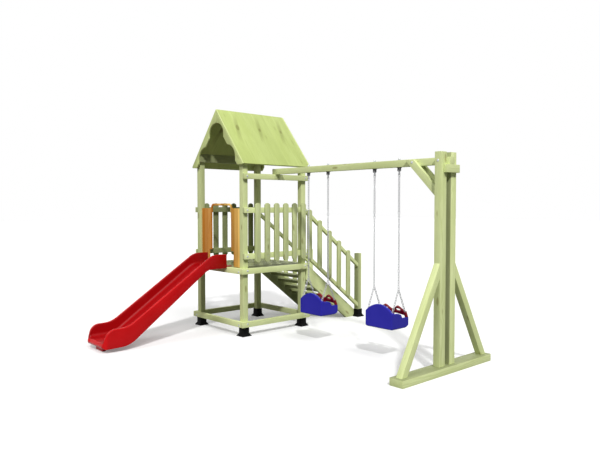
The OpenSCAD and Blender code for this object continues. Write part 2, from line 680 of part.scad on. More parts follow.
// One swing: hooks on the pins, chain runs, a moulded seat and a bar that slides up the front legs
module hooks() for (k = [-1, 1]) translate([0, k * chain_half, pivot_z]) difference() {
    union() {
        translate([0, 9, 0]) rotate([90, 0, 0]) cylinder(d = 22, h = 18);
        translate([-8, -hook_t / 2, -eye_drop]) cube([16, hook_t, eye_drop - 6]);
        translate([0, hook_t / 2, -eye_drop]) rotate([90, 0, 0]) cylinder(d = eye_d + 12, h = hook_t);
    }
    translate([0, 20, 0]) rotate([90, 0, 0]) cylinder(d = pin_d + pin_clear * 2, h = 40);
    translate([0, 20, -eye_drop]) rotate([90, 0, 0]) cylinder(d = eye_d, h = 40);
}
top_ring_z = pivot_z - eye_drop - eye_d / 2 + pin_clear - sqrt(pow(ring_r - wire / 2, 2) - pow(hook_t / 2, 2));
module chains() for (k = [-1, 1]) translate([0, k * chain_half, 0]) {
    translate([0, 0, top_ring_z]) rotate([0, 90, 0]) rotate_extrude() translate([ring_r, 0]) circle(d = wire);
    translate([0, 0, ring_z + ring_r - 1]) cylinder(d = chain_d, h = top_ring_z - ring_z - ring_r * 2 + 2);
    translate([0, 0, ring_z]) rotate([90, 0, 0]) rotate_extrude() translate([ring_r, 0]) circle(d = wire);
    translate([0, 0, ring_z]) rotate([0, 180 - leg_lean, 0]) translate([0, 0, ring_r - 1])
        cylinder(d = chain_d, h = leg_len - ring_r + 1 + 20);
    translate([0, 0, ring_z]) rotate([0, 180 + back_lean, 0]) translate([0, 0, ring_r - 1])
        cylinder(d = chain_d, h = back_len - ring_r + 1);
}
module seat() difference() {
    intersection() {
        xz(-seat_w / 2, seat_w / 2) polygon([[-seat_back + 10, seat_low], [seat_front - 46, seat_low],
            [seat_front, seat_low + 32], [seat_front, seat_lip], [56, seat_lip], [30, seat_side - 14],
            [-10, seat_side], [-seat_back + seat_wall + 6, seat_side + 6], [-seat_back + seat_wall, seat_top],
            [-seat_back, seat_top], [-seat_back, seat_low + 10]]);
        yz(-seat_back - 1, seat_front + 1) polygon(concat([[-seat_w / 2 + 12, seat_low - 1], [seat_w / 2 - 12, seat_low - 1]],
            [[seat_w / 2, seat_low + 14]],
            [for (i = [8:-1:-8]) [i / 16 * seat_w, seat_back_z(i / 16 * seat_w)]],
            [[-seat_w / 2, seat_low + 14]]));
    }
    xz(-seat_w / 2 + seat_wall, seat_w / 2 - seat_wall) polygon([[-seat_back + seat_wall, seat_low + seat_pan + 8],
        [seat_front - 40, seat_low + seat_pan], [seat_front + 1, seat_low + seat_pan + 12],
        [seat_front + 1, seat_top + 1], [-seat_back + seat_wall, seat_top + 1]]);
    for (k = [-1, 1]) translate([0, k * chain_half, ring_z]) {
        rotate([0, 180 - leg_lean, 0]) cylinder(d = chain_d, h = leg_len + 20);
        rotate([0, 180 + back_lean, 0]) cylinder(d = chain_d, h = back_len);
    }
}
bar_half = chain_half;
boss_d = eye_bore + 14;
bar_s0 = boss_d / 2 * tan(leg_lean) + 3;
module bar_outline() difference() {
    polygon(concat(
        [for (i = [-10:10]) let (y = i / 10 * bar_half) [y, bar_s0 + 72 + 54 * pow(sin(18 * i), 2)]],
        [[bar_half, bar_s0 + 14], [bar_half * 0.35, bar_s0 + 30], [-bar_half * 0.35, bar_s0 + 30],
            [-bar_half, bar_s0 + 14]]));
    for (s = [-1, 1]) {
        translate([s * bar_half / 2 - 20, bar_s0 + 80]) circle(d = 34);
        translate([s * bar_half / 2 + 20, bar_s0 + 80]) circle(d = 34);
        translate([s * bar_half / 2 - 20, bar_s0 + 63]) square([40, 34]);
    }
}
module bar() {
    difference() {
        translate([anchor_x, 0, seat_lip]) rotate([0, -leg_lean, 0]) difference() {
            union() {
                yz(-bar_t / 2, bar_t / 2) bar_outline();
                for (k = [-1, 1]) translate([0, k * chain_half, bar_s0 - 30]) cylinder(d = boss_d, h = 88);
            }
            for (k = [-1, 1]) translate([0, k * chain_half, bar_s0 - 60]) cylinder(d = eye_bore, h = 160);
        }
        box([anchor_x - 90, -seat_w, seat_lip - 90], [anchor_x + 90, seat_w, seat_lip + bar_lift]);
    }
    box([anchor_x - 46, -24, seat_low + seat_pan + 22], [anchor_x - 20, 24, seat_lip + 66]);
}
module swing_1_hooks() color([0.05, 0.05, 0.05]) at_frame() translate([0, -swing_1_at, 0]) hooks();
module swing_1_chains() color([0.75, 0.75, 0.75]) at_frame() translate([0, -swing_1_at, 0]) chains();
module swing_1_seat() color([0.15, 0.14, 0.6]) at_frame() translate([0, -swing_1_at, 0]) seat();
module swing_1_bar() color([0.5, 0.03, 0.06]) at_frame() translate([0, -swing_1_at, 0]) bar();
module swing_2_hooks() color([0.05, 0.05, 0.05]) at_frame() translate([0, -swing_2_at, 0]) hooks();
module swing_2_chains() color([0.75, 0.75, 0.75]) at_frame() translate([0, -swing_2_at, 0]) chains();
module swing_2_seat() color([0.15, 0.14, 0.6]) at_frame() translate([0, -swing_2_at, 0]) seat();
module swing_2_bar() color([0.5, 0.03, 0.06]) at_frame() translate([0, -swing_2_at, 0]) bar();

post_slide_near();
post_slide_far();
post_stair_near();
post_stair_far();
tower_shoes();
base_rails();
deck_fascias();
deck_joists();
deck_boards();
fence_rails_near();
fence_pickets_near();
fence_rails_far();
fence_pickets_far();
tie_rail_near();
roof_panel_near();
roof_panel_far();
ridge_board();
eave_plates();
barge_boards_slide();
barge_boards_stair();
slide_chute();
slide_guard();
guard_battens();
stair_stringer_near();
stair_stringer_far();
stair_treads();
stair_post_near();
stair_post_far();
stair_shoes();
stair_rails_near();
stair_rails_far();
stair_pickets_near();
stair_pickets_far();
swing_beam();
support_post_slide();
support_post_stair();
support_block();
base_plate();
brace_slide();
brace_stair();
knee_slide();
knee_stair();
hanger_bolts();
hanger_yokes();
coach_bolts();
picket_screws();
swing_1_hooks();
swing_1_chains();
swing_1_seat();
swing_1_bar();
swing_2_hooks();
swing_2_chains();
swing_2_seat();
swing_2_bar();
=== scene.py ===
import math
import random

import bmesh
import bpy
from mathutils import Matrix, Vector


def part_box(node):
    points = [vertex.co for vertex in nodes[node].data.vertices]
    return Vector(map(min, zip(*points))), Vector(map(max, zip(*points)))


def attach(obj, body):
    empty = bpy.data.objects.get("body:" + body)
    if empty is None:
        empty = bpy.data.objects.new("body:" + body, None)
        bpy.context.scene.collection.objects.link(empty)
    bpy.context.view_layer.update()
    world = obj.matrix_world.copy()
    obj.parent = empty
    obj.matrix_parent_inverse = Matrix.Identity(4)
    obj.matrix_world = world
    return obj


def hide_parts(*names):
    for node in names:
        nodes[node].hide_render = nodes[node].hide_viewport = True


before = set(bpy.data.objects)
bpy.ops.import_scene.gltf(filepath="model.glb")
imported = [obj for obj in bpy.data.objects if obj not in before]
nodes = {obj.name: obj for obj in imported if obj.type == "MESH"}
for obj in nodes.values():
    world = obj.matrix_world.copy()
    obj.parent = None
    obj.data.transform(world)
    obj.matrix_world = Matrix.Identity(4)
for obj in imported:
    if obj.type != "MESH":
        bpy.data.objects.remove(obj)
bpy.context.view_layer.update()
scene = bpy.context.scene
scene.view_settings.view_transform = "Standard"

# Camera: a standing adult's eye height on the slide side, looking along the diagonal of the tower.
# The lens is a plain 36 mm one, and the frame takes in the slide's end and the foot of the swing arm.
camera_data = bpy.data.cameras.new("camera")
camera_data.sensor_width = 36.0
camera_data.lens = 35.86
camera = bpy.data.objects.new("camera", camera_data)
camera.location = (-5.0345, -5.6275, 1.777)
camera.rotation_euler = (math.radians(87.835), 0.0, math.radians(-41.894))
scene.collection.objects.link(camera)
scene.camera = camera

# Tower posts: square pressure-treated pine with sanded arrises, their tops cut to the roof's slope.
# Every timber is sawn from its own log, so each carries its own grain coordinates and its own shade.
ARRIS = 0.004


def tone(red, green, blue):
    """A screen colour from 0 to 255 as the linear colour a shader takes."""
    linear = [((c / 255 + 0.055) / 1.055) ** 2.4 if c > 10 else c / 3294.6 for c in (red, green, blue)]
    return (*linear, 1.0)


def put(tree, kind, sockets, **settings):
    """A node with its settings; each socket is linked to another socket or set to a value."""
    node = tree.nodes.new(kind)
    for key, value in settings.items():
        setattr(node, key, value)
    for key, value in sockets.items():
        if isinstance(value, bpy.types.NodeSocket):
            tree.links.new(value, node.inputs[key])
        else:
            node.inputs[key].default_value = value
    return node


def calc(tree, operation, first, second=0.0):
    return put(tree, "ShaderNodeMath", {0: first, 1: second}, operation=operation).outputs[0]


def ramp(tree, value, low, high, start=0.0, end=1.0):
    """Value eased from start to end while the input runs from low to high."""
    sockets = {"Value": value, "From Min": low, "From Max": high, "To Min": start, "To Max": end}
    return put(tree, "ShaderNodeMapRange", sockets, interpolation_type="SMOOTHSTEP").outputs["Result"]


def mixed(tree, share, first, second, blend="MIX"):
    node = put(tree, "ShaderNodeMix", {}, data_type="RGBA", blend_type=blend)
    for socket, value in ((node.inputs[0], share), (node.inputs[6], first), (node.inputs[7], second)):
        if isinstance(value, bpy.types.NodeSocket):
            tree.links.new(value, socket)
        else:
            socket.default_value = value
    return node.outputs[2]


def stretched(tree, vector, scale):
    return put(tree, "ShaderNodeMapping", {"Vector": vector, "Scale": scale}).outputs[0]


def cloudy(tree, vector, scale, detail=2.0):
    sockets = {"Vector": vector, "Scale": scale, "Detail": detail}
    return put(tree, "ShaderNodeTexNoise", sockets).outputs["Fac"]


def corner_value(tree, label):
    """What a piece keeps at its corners under that name."""
    return put(tree, "ShaderNodeAttribute", {}, attribute_name=label).outputs


def effect(name, inputs, outputs):
    """A shader node group with named sockets, and its input and output nodes."""
    group = bpy.data.node_groups.new(name, "ShaderNodeTree")
    for label, kind, value in inputs:
        socket = group.interface.new_socket(label, in_out="INPUT", socket_type=kind)
        if value is not None:
            socket.default_value = value
    for label in outputs:
        group.interface.new_socket(label, in_out="OUTPUT", socket_type="NodeSocketFloat")
    return group, group.nodes.new("NodeGroupInput").outputs, group.nodes.new("NodeGroupOutput").inputs


pine_grain, given, result = effect(
    "pine_grain",
    [
        ("Grain", "NodeSocketVector", None),
        ("Ring width", "NodeSocketFloat", 0.007),
        ("Wander", "NodeSocketFloat", 0.03),
    ],
    ["Rings", "Fibre", "Knots", "Mottle"],
)
grain = given["Grain"]
knots = {"Vector": stretched(pine_grain, grain, (2.4, 8.0, 8.0)), "Scale": 1.0}
knot_field = put(pine_grain, "ShaderNodeTexVoronoi", knots).outputs["Distance"]
crosswise = {0: grain, 1: (0.0, 1.0, 1.0)}
across = put(pine_grain, "ShaderNodeVectorMath", crosswise, operation="MULTIPLY").outputs[0]
from_pith = put(pine_grain, "ShaderNodeVectorMath", {0: across}, operation="LENGTH").outputs["Value"]
sway = cloudy(pine_grain, stretched(pine_grain, grain, (1.3, 6.0, 6.0)), 1.0, 3.0)
drift = calc(pine_grain, "SUBTRACT", sway, 0.5)
bent = calc(pine_grain, "ADD", from_pith, calc(pine_grain, "MULTIPLY", drift, given["Wander"]))
bent = calc(pine_grain, "ADD", bent, ramp(pine_grain, knot_field, 0.0, 0.42, 0.012, 0.0))
turns = calc(pine_grain, "MULTIPLY", calc(pine_grain, "DIVIDE", bent, given["Ring width"]), 2 * math.pi)
wave = calc(pine_grain, "MULTIPLY_ADD", calc(pine_grain, "SINE", turns), 0.5)
wave.node.inputs[2].default_value = 0.5
pine_grain.links.new(calc(pine_grain, "POWER", wave, 1.7), result["Rings"])
fibres = cloudy(pine_grain, stretched(pine_grain, grain, (9.0, 330.0, 330.0)), 1.0)
pine_grain.links.new(fibres, result["Fibre"])
pine_grain.links.new(ramp(pine_grain, knot_field, 0.07, 0.15, 1.0, 0.0), result["Knots"])
patches = cloudy(pine_grain, stretched(pine_grain, grain, (1.5, 7.0, 7.0)), 1.0)
pine_grain.links.new(patches, result["Mottle"])


def material(name):
    finish = bpy.data.materials.new(name)
    finish.use_nodes = True
    return finish, finish.node_tree, finish.node_tree.nodes["Principled BSDF"]


def dress(tree, surface, colour, roughness, relief, strength, depth):
    """Joins a colour, a roughness and a relief to the surface of a material."""
    tree.links.new(colour, surface.inputs["Base Color"])
    tree.links.new(roughness, surface.inputs["Roughness"])
    bump = put(tree, "ShaderNodeBump", {"Height": relief, "Strength": strength, "Distance": depth})
    tree.links.new(bump.outputs["Normal"], surface.inputs["Normal"])


def with_painted_shade(tree, colour, shade):
    """A timber's colour times its tone, and darker by the share of painted shade kept at its corners."""
    unshaded = calc(tree, "SUBTRACT", 1.0, corner_value(tree, "painted_shade")["Fac"])
    shade = calc(tree, "MULTIPLY", shade, unshaded)
    grey = put(tree, "ShaderNodeCombineColor", {0: shade, 1: shade, 2: shade}).outputs[0]
    return mixed(tree, 1.0, colour, grey, "MULTIPLY")


TIMBER_SHEEN = 0.15
TIMBER_RELIEF = 0.0012


def finish_timber(tree, surface, wood, colour, gloss, strength, boards=None, groove=0.0):
    """Timber under its colour: fibres and rings in relief, and grooves where boards meet."""
    roughness = ramp(tree, wood.outputs["Fibre"], 0.25, 0.75, gloss[1], gloss[0])
    relief = calc(tree, "MULTIPLY", wood.outputs["Rings"], 0.5)
    relief = calc(tree, "ADD", relief, wood.outputs["Fibre"])
    if boards is not None:
        relief = calc(tree, "SUBTRACT", relief, calc(tree, "MULTIPLY", boards.outputs["Joint"], groove))
    dress(tree, surface, colour, roughness, relief, strength, TIMBER_RELIEF)
    surface.inputs["Specular IOR Level"].default_value = TIMBER_SHEEN


def sawn(name, light, dark, knot, ring_width, ring_share, knot_share, gloss=(0.56, 0.8)):
    """Sawn timber: rings and fibres in two shades, knots, and a shade of its own for every plank."""
    finish, tree, surface = material(name)
    grain = corner_value(tree, "grain")["Vector"]
    plank = corner_value(tree, "plank")["Fac"]
    wood = put(tree, "ShaderNodeGroup", {"Grain": grain, "Ring width": ring_width}, node_tree=pine_grain)
    colour = mixed(tree, calc(tree, "MULTIPLY", wood.outputs["Rings"], ring_share), light, dark)
    colour = mixed(tree, ramp(tree, wood.outputs["Mottle"], 0.42, 0.72, 0.0, 0.35), colour, dark)
    colour = mixed(tree, calc(tree, "MULTIPLY", wood.outputs["Knots"], knot_share), colour, knot)
    streaks = ramp(tree, wood.outputs["Fibre"], 0.3, 0.7, 0.93, 1.05)
    shade = calc(tree, "MULTIPLY", streaks, ramp(tree, plank, 0.0, 1.0, 0.93, 1.04))
    finish_timber(tree, surface, wood, with_painted_shade(tree, colour, shade), gloss, 0.22)
    return finish


PINE_TONES = (tone(220, 229, 170), tone(188, 200, 128), tone(140, 130, 76))
treated_pine = sawn("treated_pine", *PINE_TONES, ring_width=0.0075, ring_share=0.42, knot_share=0.6)


def solids_of(node):
    """The separate solids of a CAD node, as lists of corners, in a fixed order."""
    work = bmesh.new()
    work.from_mesh(nodes[node].data)
    bmesh.ops.remove_doubles(work, verts=work.verts, dist=1e-5)
    left, solids = set(work.verts), []
    for start in list(work.verts):
        if start not in left:
            continue
        left.discard(start)
        reached, front = [start], [start]
        while front:
            for edge in front.pop().link_edges:
                for corner in edge.verts:
                    if corner in left:
                        left.discard(corner)
                        reached.append(corner)
                        front.append(corner)
        solids.append([v.co.copy() for v in reached])
    work.free()
    return sorted(solids, key=lambda s: [round(min(p[i] for p in s), 4) for i in range(3)])


def longest_edge(work):
    edge = max(work.edges, key=lambda e: round(e.calc_length(), 5))
    return (edge.verts[1].co - edge.verts[0].co).normalized()


def round_edges(work, edges, width, segments=2):
    bmesh.ops.bevel(
        work,
        geom=edges,
        offset=width,
        segments=segments,
        profile=0.6,
        affect="EDGES",
        clamp_overlap=True,
    )


def ease(work, width, segments=2, least=25):
    sharp = [e for e in work.edges if e.is_manifold and e.calc_face_angle(0) > math.radians(least)]
    round_edges(work, sharp, width, segments)


def planed(corners, width):
    """A timber without its bores: the hull of its corners with eased arrises, and its grain's way."""
    work = bmesh.new()
    for corner in corners:
        work.verts.new(corner)
    hull = bmesh.ops.convex_hull(work, input=work.verts)
    spare = {v for v in hull["geom_interior"] + hull["geom_unused"] if isinstance(v, bmesh.types.BMVert)}
    bmesh.ops.delete(work, geom=list(spare), context="VERTS")
    bmesh.ops.dissolve_limit(work, angle_limit=math.radians(1), verts=work.verts, edges=work.edges)
    along = longest_edge(work)
    ease(work, width)
    bmesh.ops.recalc_face_normals(work, faces=work.faces)
    return work, along


def log_place(points, along, draw, pith=0.09):
    """Grain coordinates: the first runs along the timber, the others away from the pith of its log."""
    side = along.cross(Vector((0, 0, 1)))
    side = Vector((1, 0, 0)) if side.length < 0.3 else side.normalized()
    up = along.cross(side)
    middle = sum(points, Vector()) / len(points)
    shift = (draw.uniform(0, 40), draw.uniform(-pith, pith), draw.uniform(0.03, pith))
    ways = (along, side, up)
    return [tuple((p - middle) @ way + move for way, move in zip(ways, shift)) for p in points]


def keep(mesh, label, values):
    """Keeps a number or a vector at each corner of a mesh, for its material to read."""
    if isinstance(values[0], (tuple, Vector)):
        spots = [c for v in values for c in v]
        mesh.attributes.new(label, "FLOAT_VECTOR", "POINT").data.foreach_set("vector", spots)
    else:
        mesh.attributes.new(label, "FLOAT", "POINT").data.foreach_set("value", values)


def new_piece(name, corners, faces, finish, grain=(), planks=()):
    mesh = bpy.data.meshes.new(name)
    mesh.from_pydata(corners, [], faces)
    if grain:
        keep(mesh, "grain", grain)
    if planks:
        keep(mesh, "plank", planks)
    mesh.polygons.foreach_set("use_smooth", [True] * len(mesh.polygons))
    mesh.set_sharp_from_angle(angle=math.radians(32))
    mesh.materials.append(finish)
    piece = bpy.data.objects.new(name, mesh)
    scene.collection.objects.link(piece)
    return piece


def timbers(node, finish=treated_pine, width=ARRIS, solids=None):
    """One piece for a timber node, each of its solids a plank with its own grain."""
    draw = random.Random(node)
    corners, faces, grain, planks = [], [], [], []
    for solid in solids or solids_of(node):
        work, along = planed(solid, width)
        work.verts.index_update()
        points = [v.co.copy() for v in work.verts]
        faces += [[v.index + len(corners) for v in f.verts] for f in work.faces]
        corners += points
        grain += log_place(points, along, draw)
        planks += [draw.random()] * len(points)
        work.free()
    piece = new_piece(node + "_timber", corners, faces, finish, grain, planks)
    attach(piece, "frame")
    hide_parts(node)
    return piece


def paint_shade(piece, share):
    """Darkens a timber's corners by a share for each: painted shade, where the timber lies in shade."""
    keep(piece.data, "painted_shade", [share(v.co) for v in piece.data.vertices])


for corner in ("post_slide_near", "post_stair_near", "post_stair_far"):
    timbers(corner)
# Painted shade: the far post by the slide stands in the roof's shade and is coloured darker.
paint_shade(timbers("post_slide_far"), lambda spot: 0.16)

# Post shoes: black moulded sockets with a flared foot, pushed over the sawn end of each post.
# They keep the timber off the wet ground; the skin is the fine matt grain of a moulding tool.
moulded_skin, given, result = effect(
    "moulded_skin",
    [("Place", "NodeSocketVector", None), ("Grain size", "NodeSocketFloat", 0.0012)],
    ["Pebble", "Scuff", "Fade"],
)
pebble_scale = calc(moulded_skin, "DIVIDE", 1.0, given["Grain size"])
moulded_skin.links.new(cloudy(moulded_skin, given["Place"], pebble_scale), result["Pebble"])
scuffs = cloudy(moulded_skin, stretched(moulded_skin, given["Place"], (5.0, 46.0, 5.0)), 1.0, 5.0)
moulded_skin.links.new(ramp(moulded_skin, scuffs, 0.56, 0.74), result["Scuff"])
moulded_skin.links.new(cloudy(moulded_skin, given["Place"], 2.3), result["Fade"])


def moulded(name, colour, faded, gloss, rubbed, pebble, depth, sheen):
    """Coloured plastic: a skin from the mould, rubbed places and colour faded by the sun."""
    finish, tree, surface = material(name)
    place = put(tree, "ShaderNodeTexCoord", {}).outputs["Object"]
    skin = put(tree, "ShaderNodeGroup", {}, node_tree=moulded_skin)
    tree.links.new(place, skin.inputs["Place"])
    skin.inputs["Grain size"].default_value = pebble
    shade = mixed(tree, ramp(tree, skin.outputs["Fade"], 0.35, 0.7), colour, faded)
    roughness = ramp(tree, skin.outputs["Scuff"], 0.0, 1.0, gloss, rubbed)
    dress(tree, surface, shade, roughness, skin.outputs["Pebble"], strength=0.25, depth=depth)
    surface.inputs["Specular IOR Level"].default_value = sheen
    return finish


SHOE_SKIN = {"gloss": 0.55, "rubbed": 0.75, "pebble": 0.0016, "depth": 0.0006, "sheen": 0.06}
shoe_black = moulded("shoe_black", tone(9, 9, 9), tone(17, 17, 16), **SHOE_SKIN)


def worked_copy(node, finish, body, modifiers):
    """A merged copy of a CAD node, finished by modifiers into a plain mesh that stands for it."""
    work = bmesh.new()
    work.from_mesh(nodes[node].data)
    bmesh.ops.remove_doubles(work, verts=work.verts, dist=1e-5)
    bmesh.ops.dissolve_limit(work, angle_limit=math.radians(1), verts=work.verts, edges=work.edges)
    rough = bpy.data.meshes.new(node + "_rough")
    work.to_mesh(rough)
    work.free()
    holder = bpy.data.objects.new(node + "_rough", rough)
    scene.collection.objects.link(holder)
    for kind, settings in modifiers:
        modifier = holder.modifiers.new(kind.lower(), kind)
        for key, value in settings.items():
            setattr(modifier, key, value)
    shaped = bpy.data.meshes.new_from_object(holder.evaluated_get(bpy.context.evaluated_depsgraph_get()))
    bpy.data.objects.remove(holder)
    shaped.name = node + "_shaped"
    shaped.polygons.foreach_set("use_smooth", [True] * len(shaped.polygons))
    shaped.set_sharp_from_angle(angle=math.radians(40))
    shaped.materials.clear()
    shaped.materials.append(finish)
    piece = bpy.data.objects.new(node + "_shaped", shaped)
    scene.collection.objects.link(piece)
    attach(piece, body)
    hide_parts(node)
    return piece


def rounding(width, segments=2, least=35):
    limit = {"limit_method": "ANGLE", "angle_limit": math.radians(least)}
    return ("BEVEL", {"width": width, "segments": segments, **limit})


for shoes in ("tower_shoes", "stair_shoes"):
    worked_copy(shoes, shoe_black, "frame", [rounding(0.003)])

# Base rails, deck fascias and joists: sawn pine rails bolted to the outside of the posts.
# The deck boards lie between the fascias with a drainage gap between each two of them.
for rails in ("base_rails", "deck_fascias", "deck_joists"):
    timbers(rails)


def growing_tree(name, inputs):
    """An empty geometry tree: the tree, the identifiers of its named inputs, and their sockets."""
    tree = bpy.data.node_groups.new(name, "GeometryNodeTree")
    keys = {}
    for label, kind in inputs:
        keys[label] = tree.interface.new_socket(label, in_out="INPUT", socket_type=kind).identifier
    tree.interface.new_socket("Geometry", in_out="OUTPUT", socket_type="NodeSocketGeometry")
    return tree, keys, tree.nodes.new("NodeGroupInput").outputs


def close_tree(tree, shape, finish):
    """Ends a tree: its plain mesh takes the finish and goes out."""
    coated = put(tree, "GeometryNodeSetMaterial", {"Geometry": shape, "Material": finish}).outputs[0]
    tree.links.new(coated, tree.nodes.new("NodeGroupOutput").inputs[0])


def named_value(tree, label, kind):
    return put(tree, "GeometryNodeInputNamedAttribute", {"Name": label}, data_type=kind).outputs[0]


plank_row, row_keys, given = growing_tree(
    "plank_row",
    (
        ("Plank", "NodeSocketObject"),
        ("Count", "NodeSocketInt"),
        ("Step", "NodeSocketVector"),
        ("Finish", "NodeSocketMaterial"),
        ("Seed", "NodeSocketInt"),
    ),
)
spacing = {"Count": given["Count"], "Offset": given["Step"]}
places = put(plank_row, "GeometryNodeMeshLine", spacing).outputs[0]
plank_shape = put(plank_row, "GeometryNodeObjectInfo", {"Object": given["Plank"]}).outputs["Geometry"]
copies = {"Points": places, "Instance": plank_shape}
laid = put(plank_row, "GeometryNodeInstanceOnPoints", copies).outputs[0]
chance = put(plank_row, "FunctionNodeRandomValue", {"Seed": given["Seed"]}, data_type="FLOAT").outputs[1]
shaded = put(
    plank_row,
    "GeometryNodeStoreNamedAttribute",
    {"Geometry": laid, "Name": "plank", "Value": chance},
    data_type="FLOAT",
    domain="INSTANCE",
).outputs[0]
joined = put(plank_row, "GeometryNodeRealizeInstances", {"Geometry": shaded}).outputs[0]
own = named_value(plank_row, "plank", "FLOAT")
old = named_value(plank_row, "grain", "FLOAT_VECTOR")
LOG_SHIFT = (37.0, 0.11, 0.05)
shift = put(plank_row, "ShaderNodeVectorMath", {0: LOG_SHIFT, "Scale": own}, operation="SCALE").outputs[0]
moved = put(plank_row, "ShaderNodeVectorMath", {0: old, 1: shift}, operation="ADD").outputs[0]
grained = put(
    plank_row,
    "GeometryNodeStoreNamedAttribute",
    {"Geometry": joined, "Name": "grain", "Value": moved},
    data_type="FLOAT_VECTOR",
    domain="POINT",
).outputs[0]
close_tree(plank_row, grained, given["Finish"])


def grown(name, tree, keys, values, host=None):
    """The plain mesh that a geometry tree makes, with the tree's inputs set by their identifiers."""
    holder = bpy.data.objects.new(name + "_holder", host or bpy.data.meshes.new(name + "_holder"))
    scene.collection.objects.link(holder)
    modifier = holder.modifiers.new(name, "NODES")
    modifier.node_group = tree
    for label, value in values.items():
        modifier[keys[label]] = value
    mesh = bpy.data.meshes.new_from_object(holder.evaluated_get(bpy.context.evaluated_depsgraph_get()))
    bpy.data.objects.remove(holder)
    mesh.name = name
    mesh.set_sharp_from_angle(angle=math.radians(32))
    piece = bpy.data.objects.new(name, mesh)
    scene.collection.objects.link(piece)
    return piece


PLANK_ARRIS = 0.003


def middle_of(solid):
    low = [min(p[i] for p in solid) for i in range(3)]
    high = [max(p[i] for p in solid) for i in range(3)]
    return (Vector(low) + Vector(high)) / 2


def row_of_planks(node, planks, seed):
    """A row of equal planks: the first is planed, and the tree repeats it along the row."""
    work, along = planed(planks[0], PLANK_ARRIS)
    work.verts.index_update()
    points = [v.co.copy() for v in work.verts]
    faces = [[v.index for v in f.verts] for f in work.faces]
    work.free()
    grain = log_place(points, along, random.Random(node))
    pattern = new_piece(node + "_pattern", points, faces, treated_pine, grain)
    step = middle_of(planks[1]) - middle_of(planks[0])
    values = {"Plank": pattern, "Count": len(planks), "Step": step, "Finish": treated_pine, "Seed": seed}
    piece = grown(node + "_row", plank_row, row_keys, values)
    bpy.data.objects.remove(pattern)
    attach(piece, "frame")
    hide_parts(node)
    return piece


def length_of(solid):
    return max(p.x for p in solid) - min(p.x for p in solid)


boards = solids_of("deck_boards")
full_length = max(length_of(s) for s in boards) - 0.01
full_boards = [s for s in boards if length_of(s) > full_length]
edge_boards = [s for s in boards if length_of(s) <= full_length]
full_boards.sort(key=lambda s: middle_of(s).y)
deck = row_of_planks("deck_boards", full_boards, 5)
deck_edges = timbers("deck_boards", solids=edge_boards)
deck_edges.name = "deck_boards_edges"
# Painted shade: the deck boards lie in the shadow of the fences and are coloured darker all over.
DECK_SHADE = 0.6
for laid in (deck, deck_edges):
    paint_shade(laid, lambda corner: DECK_SHADE)

# Fences: two rails on the outside of the posts and six round-ended pickets screwed to them.
# The pickets are planed thinner than the rails, and their tops stand over the upper rail.
deck_low, deck_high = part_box("deck_boards")
deck_y = (deck_low.y + deck_high.y) / 2


def shade_inside(piece, outer, inner):
    """Timber of a fence with painted shade: its faces over the deck lie in the roof's shade and are
    coloured darker by the inner share, its outer faces by the outer share.
    """
    reach = [abs(v.co.y - deck_y) for v in piece.data.vertices]
    middle = (min(reach) + max(reach)) / 2
    paint_shade(piece, lambda corner: inner if abs(corner.y - deck_y) < middle else outer)


shade_inside(timbers("fence_rails_near"), outer=0.0, inner=0.4)
shade_inside(timbers("fence_rails_far"), outer=0.0, inner=0.55)
timbers("tie_rail_near")


def picket_row(node, seed):
    return row_of_planks(node, sorted(solids_of(node), key=lambda s: middle_of(s).x), seed)


# The pickets' outer faces also carry a little painted shade.
shade_inside(picket_row("fence_pickets_near", 11), outer=0.2, inner=0.4)
shade_inside(picket_row("fence_pickets_far", 12), outer=0.1, inner=0.58)

# Roof: two steep smooth panels on a ridge board and eave plates, planed and treated like the frame.
# The barge boards close the panels' ends at both gables and are sawn with two scallops on each side.
boarding, given, result = effect(
    "boarding",
    [("Across", "NodeSocketFloat", 0.0), ("Board", "NodeSocketFloat", 0.39)],
    ["Inside", "Number", "Shade", "Joint"],
)
counted = calc(boarding, "DIVIDE", given["Across"], given["Board"])
number = calc(boarding, "FLOOR", counted)
inside = calc(boarding, "SUBTRACT", calc(boarding, "SUBTRACT", counted, number), 0.5)
boarding.links.new(calc(boarding, "MULTIPLY", inside, given["Board"]), result["Inside"])
boarding.links.new(number, result["Number"])
shade = put(boarding, "ShaderNodeTexWhiteNoise", {"W": number}, noise_dimensions="1D").outputs["Value"]
boarding.links.new(shade, result["Shade"])
to_edge = calc(boarding, "SUBTRACT", 0.5, calc(boarding, "ABSOLUTE", inside))
rim = calc(boarding, "MULTIPLY", to_edge, given["Board"])
boarding.links.new(ramp(boarding, rim, 0.0008, 0.0042, 1.0, 0.0), result["Joint"])


